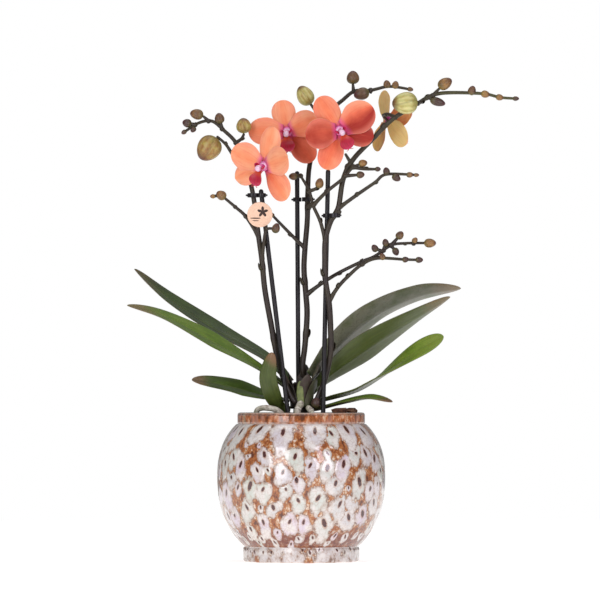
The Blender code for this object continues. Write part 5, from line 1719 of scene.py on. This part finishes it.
def make_tag(shape, plant):
    """A round card printed with a plain five-petal blossom and two bars, on a collar behind it."""
    low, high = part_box("tag")
    middle = Vector(((low[0] + high[0]) / 2, low[1] + TAG_THICKNESS / 2, (low[2] + high[2]) / 2))
    radius = plant.tag_radius
    disc(shape, middle, radius, TAG_THICKNESS, 64)
    front = middle.y - TAG_THICKNESS / 2
    blossom = Vector((middle.x + 0.22 * radius, front, middle.z + 0.22 * radius))
    for petal in range(5):
        turn = math.radians(90 + 72 * petal)
        spot = blossom + Vector((math.cos(turn), 0, math.sin(turn))) * 0.24 * radius
        disc(shape, spot, 0.2 * radius, INK_THICKNESS, 24, 1, 0.55, turn)
    disc(shape, blossom, 0.07 * radius, INK_THICKNESS * 1.4, 16, 1)
    bar = Vector((middle.x - 0.34 * radius, front, middle.z - 0.28 * radius))
    disc(shape, bar, 0.42 * radius, INK_THICKNESS, 32, 1, 0.12)
    disc(shape, bar - Vector((0, 0, 0.2 * radius)), 0.26 * radius, INK_THICKNESS, 32, 1, 0.14)
    stake = at_height(stake_ends("left"), middle.z)
    hole = plant.stake_radius + HOLE_CLEARANCE
    rows = [
        [
            shape.point(stake + polar(hole + out, angle, z))
            for out, z in band_section(TAG_COLLAR_HEIGHT, 0.3 * MM)
        ]
        for angle in around(COLLAR_SIDES)
    ]
    shape.skin([*rows, rows[0]], 2)


# Operators, one for each piece or group of like pieces


def put(node, name, slot, finishes, make, *options, **marks):
    """One piece in a node's place, in the shape that make(shape, *options) gives it."""
    shape = Shape()
    make(shape, *options, **marks)
    shape.piece(name, finishes, slot, node)


class ORCHID_OT_glazed_pot(bpy.types.Operator):
    """Add the glazed pot"""

    bl_idname = "orchid.glazed_pot"
    bl_label = "Glazed pot"

    def execute(self, context):
        colours = context.scene.orchid_colours
        finishes = [reactive_glaze(colours), rim_glaze(colours)]
        put("ceramic_pot", "glazed_pot", "glaze", finishes, make_pot, context.scene.orchid_pot)
        return {"FINISHED"}


class ORCHID_OT_grow_pot(bpy.types.Operator):
    """Add the grow pot inside the glazed pot"""

    bl_idname = "orchid.grow_pot"
    bl_label = "Grow pot"

    def execute(self, context):
        pot = context.scene.orchid_pot
        finish = moulded_plastic("blow-moulded polypropylene", linear("5A3626"), 0.4)
        put("grow_pot", "thin_grow_pot", "grow_pot_plastic", [finish], make_grow_pot, pot)
        return {"FINISHED"}


class ORCHID_OT_bark(bpy.types.Operator):
    """Add the bark mix and the loose chips by the rim"""

    bl_idname = "orchid.bark"
    bl_label = "Bark"

    def execute(self, context):
        finish = pine_bark(context.scene.orchid_colours)
        noise.seed_set(CHIP_SEED)
        put("bark_mix", "bark_bed", "bark", [finish], make_bark, context.scene.orchid_pot)
        draw = random.Random(8)
        for name, (middle, turn) in CHIPS.items():
            turn = math.radians(turn)
            place = on_plant(middle)
            put(name, f"loose_{name}", "bark", [finish], make_chip, place, CHIP_SIZES, turn, draw)
        return {"FINISHED"}


class ORCHID_OT_crown(bpy.types.Operator):
    """Add the crown with the clasping feet of its leaves"""

    bl_idname = "orchid.crown"
    bl_label = "Crown"

    def execute(self, context):
        finish = leaf_sheath(context.scene.orchid_colours)
        put("crown", "sheathed_crown", "crown", [finish], make_crown)
        return {"FINISHED"}


class ORCHID_OT_roots(bpy.types.Operator):
    """Add the roots that show above the bark"""

    bl_idname = "orchid.roots"
    bl_label = "Roots"

    def execute(self, context):
        finish = velamen(context.scene.orchid_colours)
        for name, route in ROOTS.items():
            put(name, f"air_{name}", "root", [finish], make_root, *route)
        return {"FINISHED"}


class ORCHID_OT_leaves(bpy.types.Operator):
    """Add the eight leaves"""

    bl_idname = "orchid.leaves"
    bl_label = "Leaves"

    def execute(self, context):
        finish = waxy_leaf(context.scene.orchid_colours)
        plant = context.scene.orchid_plant
        for name in LEAVES:
            put(name, f"veined_{name}", "leaf", [finish], make_leaf, name, plant)
        return {"FINISHED"}


class ORCHID_OT_spikes(bpy.types.Operator):
    """Add the three branched flower spikes with their smallest buds"""

    bl_idname = "orchid.spikes"
    bl_label = "Flower spikes"

    def execute(self, context):
        colours = context.scene.orchid_colours
        finishes = [green_skin(colours), bud_tissue(colours)]
        plant = context.scene.orchid_plant
        for name, plan in SPIKES.items():
            put(name, f"branched_{name}", "stem", finishes, make_spike, plan, plant)
        return {"FINISHED"}


class ORCHID_OT_buds(bpy.types.Operator):
    """Add the eight larger buds"""

    bl_idname = "orchid.buds"
    bl_label = "Buds"

    def execute(self, context):
        finish = bpy.data.materials["bud tissue"]
        for name, (middle, length, width, direction, tone) in BUDS.items():
            sizes = on_plant(middle), length * MM, width * MM, direction, 24, BUD_SEAM
            put(name, f"seamed_{name}", "bud", [finish], egg, *sizes, tone=tone)
        return {"FINISHED"}


class ORCHID_OT_flowers(bpy.types.Operator):
    """Add the four open flowers, petal by petal"""

    bl_idname = "orchid.flowers"
    bl_label = "Flowers"

    def execute(self, context):
        colours = context.scene.orchid_colours
        plant = context.scene.orchid_plant
        tissue = petal_tissue(colours)
        lip_finishes = [lip_tissue(colours), column_tissue(colours)]
        for at, (name, (middle, facing, turn, blades)) in enumerate(FLOWERS.items()):
            place = on_plant(middle), flower_frame(facing, turn)
            for number, (part, plan) in enumerate(blades.items()):
                node = f"{name}_{part}"
                phase = 1.7 * at + 2.3 * number
                options = *place, plan, part, plant, phase
                put(node, f"veined_{node}", "petal", [tissue], make_petal, *options)
            put(f"{name}_lip", f"lobed_{name}_lip", "lip", lip_finishes, make_lip, *place, plant)
        return {"FINISHED"}


class ORCHID_OT_stakes(bpy.types.Operator):
    """Add the three stakes"""

    bl_idname = "orchid.stakes"
    bl_label = "Stakes"

    def execute(self, context):
        finish = moulded_plastic("extruded nylon", context.scene.orchid_colours.plastic, 0.42)
        plant = context.scene.orchid_plant
        for side in STAKES:
            name = f"pointed_stake_{side}"
            put(f"stake_{side}", name, "black_plastic", [finish], make_stake, side, plant)
        return {"FINISHED"}


class ORCHID_OT_clips(bpy.types.Operator):
    """Add the clips that hold each spike to its stake"""

    bl_idname = "orchid.clips"
    bl_label = "Clips"

    def execute(self, context):
        finish = moulded_plastic("moulded nylon", context.scene.orchid_colours.plastic, 0.34)
        plant = context.scene.orchid_plant
        for side in CLIP_LEVELS:
            name = f"snap_clip_{side}"
            put(f"clip_{side}", name, "black_plastic", [finish], make_clip, side, plant)
        return {"FINISHED"}


class ORCHID_OT_tag(bpy.types.Operator):
    """Add the round tag with its plain printed blossom"""

    bl_idname = "orchid.tag"
    bl_label = "Tag"

    def execute(self, context):
        finishes = [
            uncoated_card(context.scene.orchid_colours), printed_ink(),
            bpy.data.materials["moulded nylon"],
        ]
        put("tag", "printed_tag", "tag_card", finishes, make_tag, context.scene.orchid_plant)
        return {"FINISHED"}


class ORCHID_OT_stage(bpy.types.Operator):
    """Add the pale floor, the soft lights and the camera"""

    bl_idname = "orchid.stage"
    bl_label = "Stage"

    def execute(self, context):
        scene = context.scene
        mesh = bpy.data.meshes.new("studio_floor")
        edge = [polar(FLOOR_RADIUS, angle, FLOOR_LEVEL) for angle in around(FLOOR_SIDES)]
        mesh.from_pydata(edge, [], [list(range(FLOOR_SIDES))])
        mesh.materials.append(opal_acrylic(scene.orchid_colours))
        floor = bpy.data.objects.new("studio_floor", mesh)
        scene.collection.objects.link(floor)
        for name, (place, size, watts, tint) in SOFTBOXES.items():
            light = bpy.data.lights.new(name, "AREA")
            light.shape = "RECTANGLE"
            light.size, light.size_y = size
            light.energy = watts
            light.color = linear(tint)
            box = bpy.data.objects.new(name, light)
            box.location = place
            aim = Vector(LIT_POINT) - Vector(place)
            box.rotation_euler = aim.to_track_quat("-Z", "Y").to_euler()
            scene.collection.objects.link(box)
        world = bpy.data.worlds.new("white studio")
        world.use_nodes = True
        tree = world.node_tree
        glow = tree.nodes["Background"]
        seen = add(tree, "LightPath", out="Is Camera Ray")
        mirrored = add(tree, "LightPath", out="Is Glossy Ray")
        level = add(tree, "MapRange", (mirrored, 0.0, 1.0, ROOM_LIGHT, ROOM_SHEEN))
        level = add(tree, "Mix", {0: seen, 2: level, 3: BACKDROP_LIGHT})
        tree.links.new(level, glow.inputs["Strength"])
        glow.inputs["Color"].default_value = (1, 1, 1, 1)
        scene.world = world
        scene.view_settings.view_transform = "Standard"
        camera = bpy.data.objects.new("camera", bpy.data.cameras.new("camera"))
        camera.data.lens = CAMERA_LENS
        camera.data.sensor_width = CAMERA_SENSOR
        camera.location = CAMERA_PLACE
        aim = Vector(CAMERA_TARGET) - Vector(CAMERA_PLACE)
        camera.rotation_euler = aim.to_track_quat("-Z", "Y").to_euler()
        camera.data.clip_end = 20
        scene.collection.objects.link(camera)
        scene.camera = camera
        return {"FINISHED"}


OPERATORS = (
    ORCHID_OT_glazed_pot, ORCHID_OT_grow_pot, ORCHID_OT_bark, ORCHID_OT_crown, ORCHID_OT_roots,
    ORCHID_OT_leaves, ORCHID_OT_spikes, ORCHID_OT_buds, ORCHID_OT_flowers, ORCHID_OT_stakes,
    ORCHID_OT_clips, ORCHID_OT_tag, ORCHID_OT_stage,
)


class ORCHID_PT_panel(bpy.types.Panel):
    """Lists the sizes, the colours and the pieces"""

    bl_idname = "ORCHID_PT_panel"
    bl_label = "Potted orchid"
    bl_space_type = "VIEW_3D"
    bl_region_type = "UI"
    bl_category = "Orchid"

    def draw(self, context):
        layout = self.layout
        for options in (
            context.scene.orchid_pot, context.scene.orchid_plant, context.scene.orchid_colours,
        ):
            box = layout.box()
            for name in options.bl_rna.properties.keys():
                if name not in ("rna_type", "name"):
                    box.prop(options, name)
        for operator in OPERATORS:
            layout.operator(operator.bl_idname)


GROUPS = {
    "orchid_pot": ORCHID_PG_pot,
    "orchid_plant": ORCHID_PG_plant,
    "orchid_colours": ORCHID_PG_colours,
}


def register():
    for group in (*GROUPS.values(), *OPERATORS, ORCHID_PT_panel):
        bpy.utils.register_class(group)
    for name, group in GROUPS.items():
        setattr(bpy.types.Scene, name, PointerProperty(type=group))


def unregister():
    for name in GROUPS:
        delattr(bpy.types.Scene, name)
    for group in (ORCHID_PT_panel, *reversed(OPERATORS), *GROUPS.values()):
        bpy.utils.unregister_class(group)


def main():
    register()
    for operator in OPERATORS:
        group, name = operator.bl_idname.split(".")
        getattr(getattr(bpy.ops, group), name)()


if __name__ == "__main__":
    main()
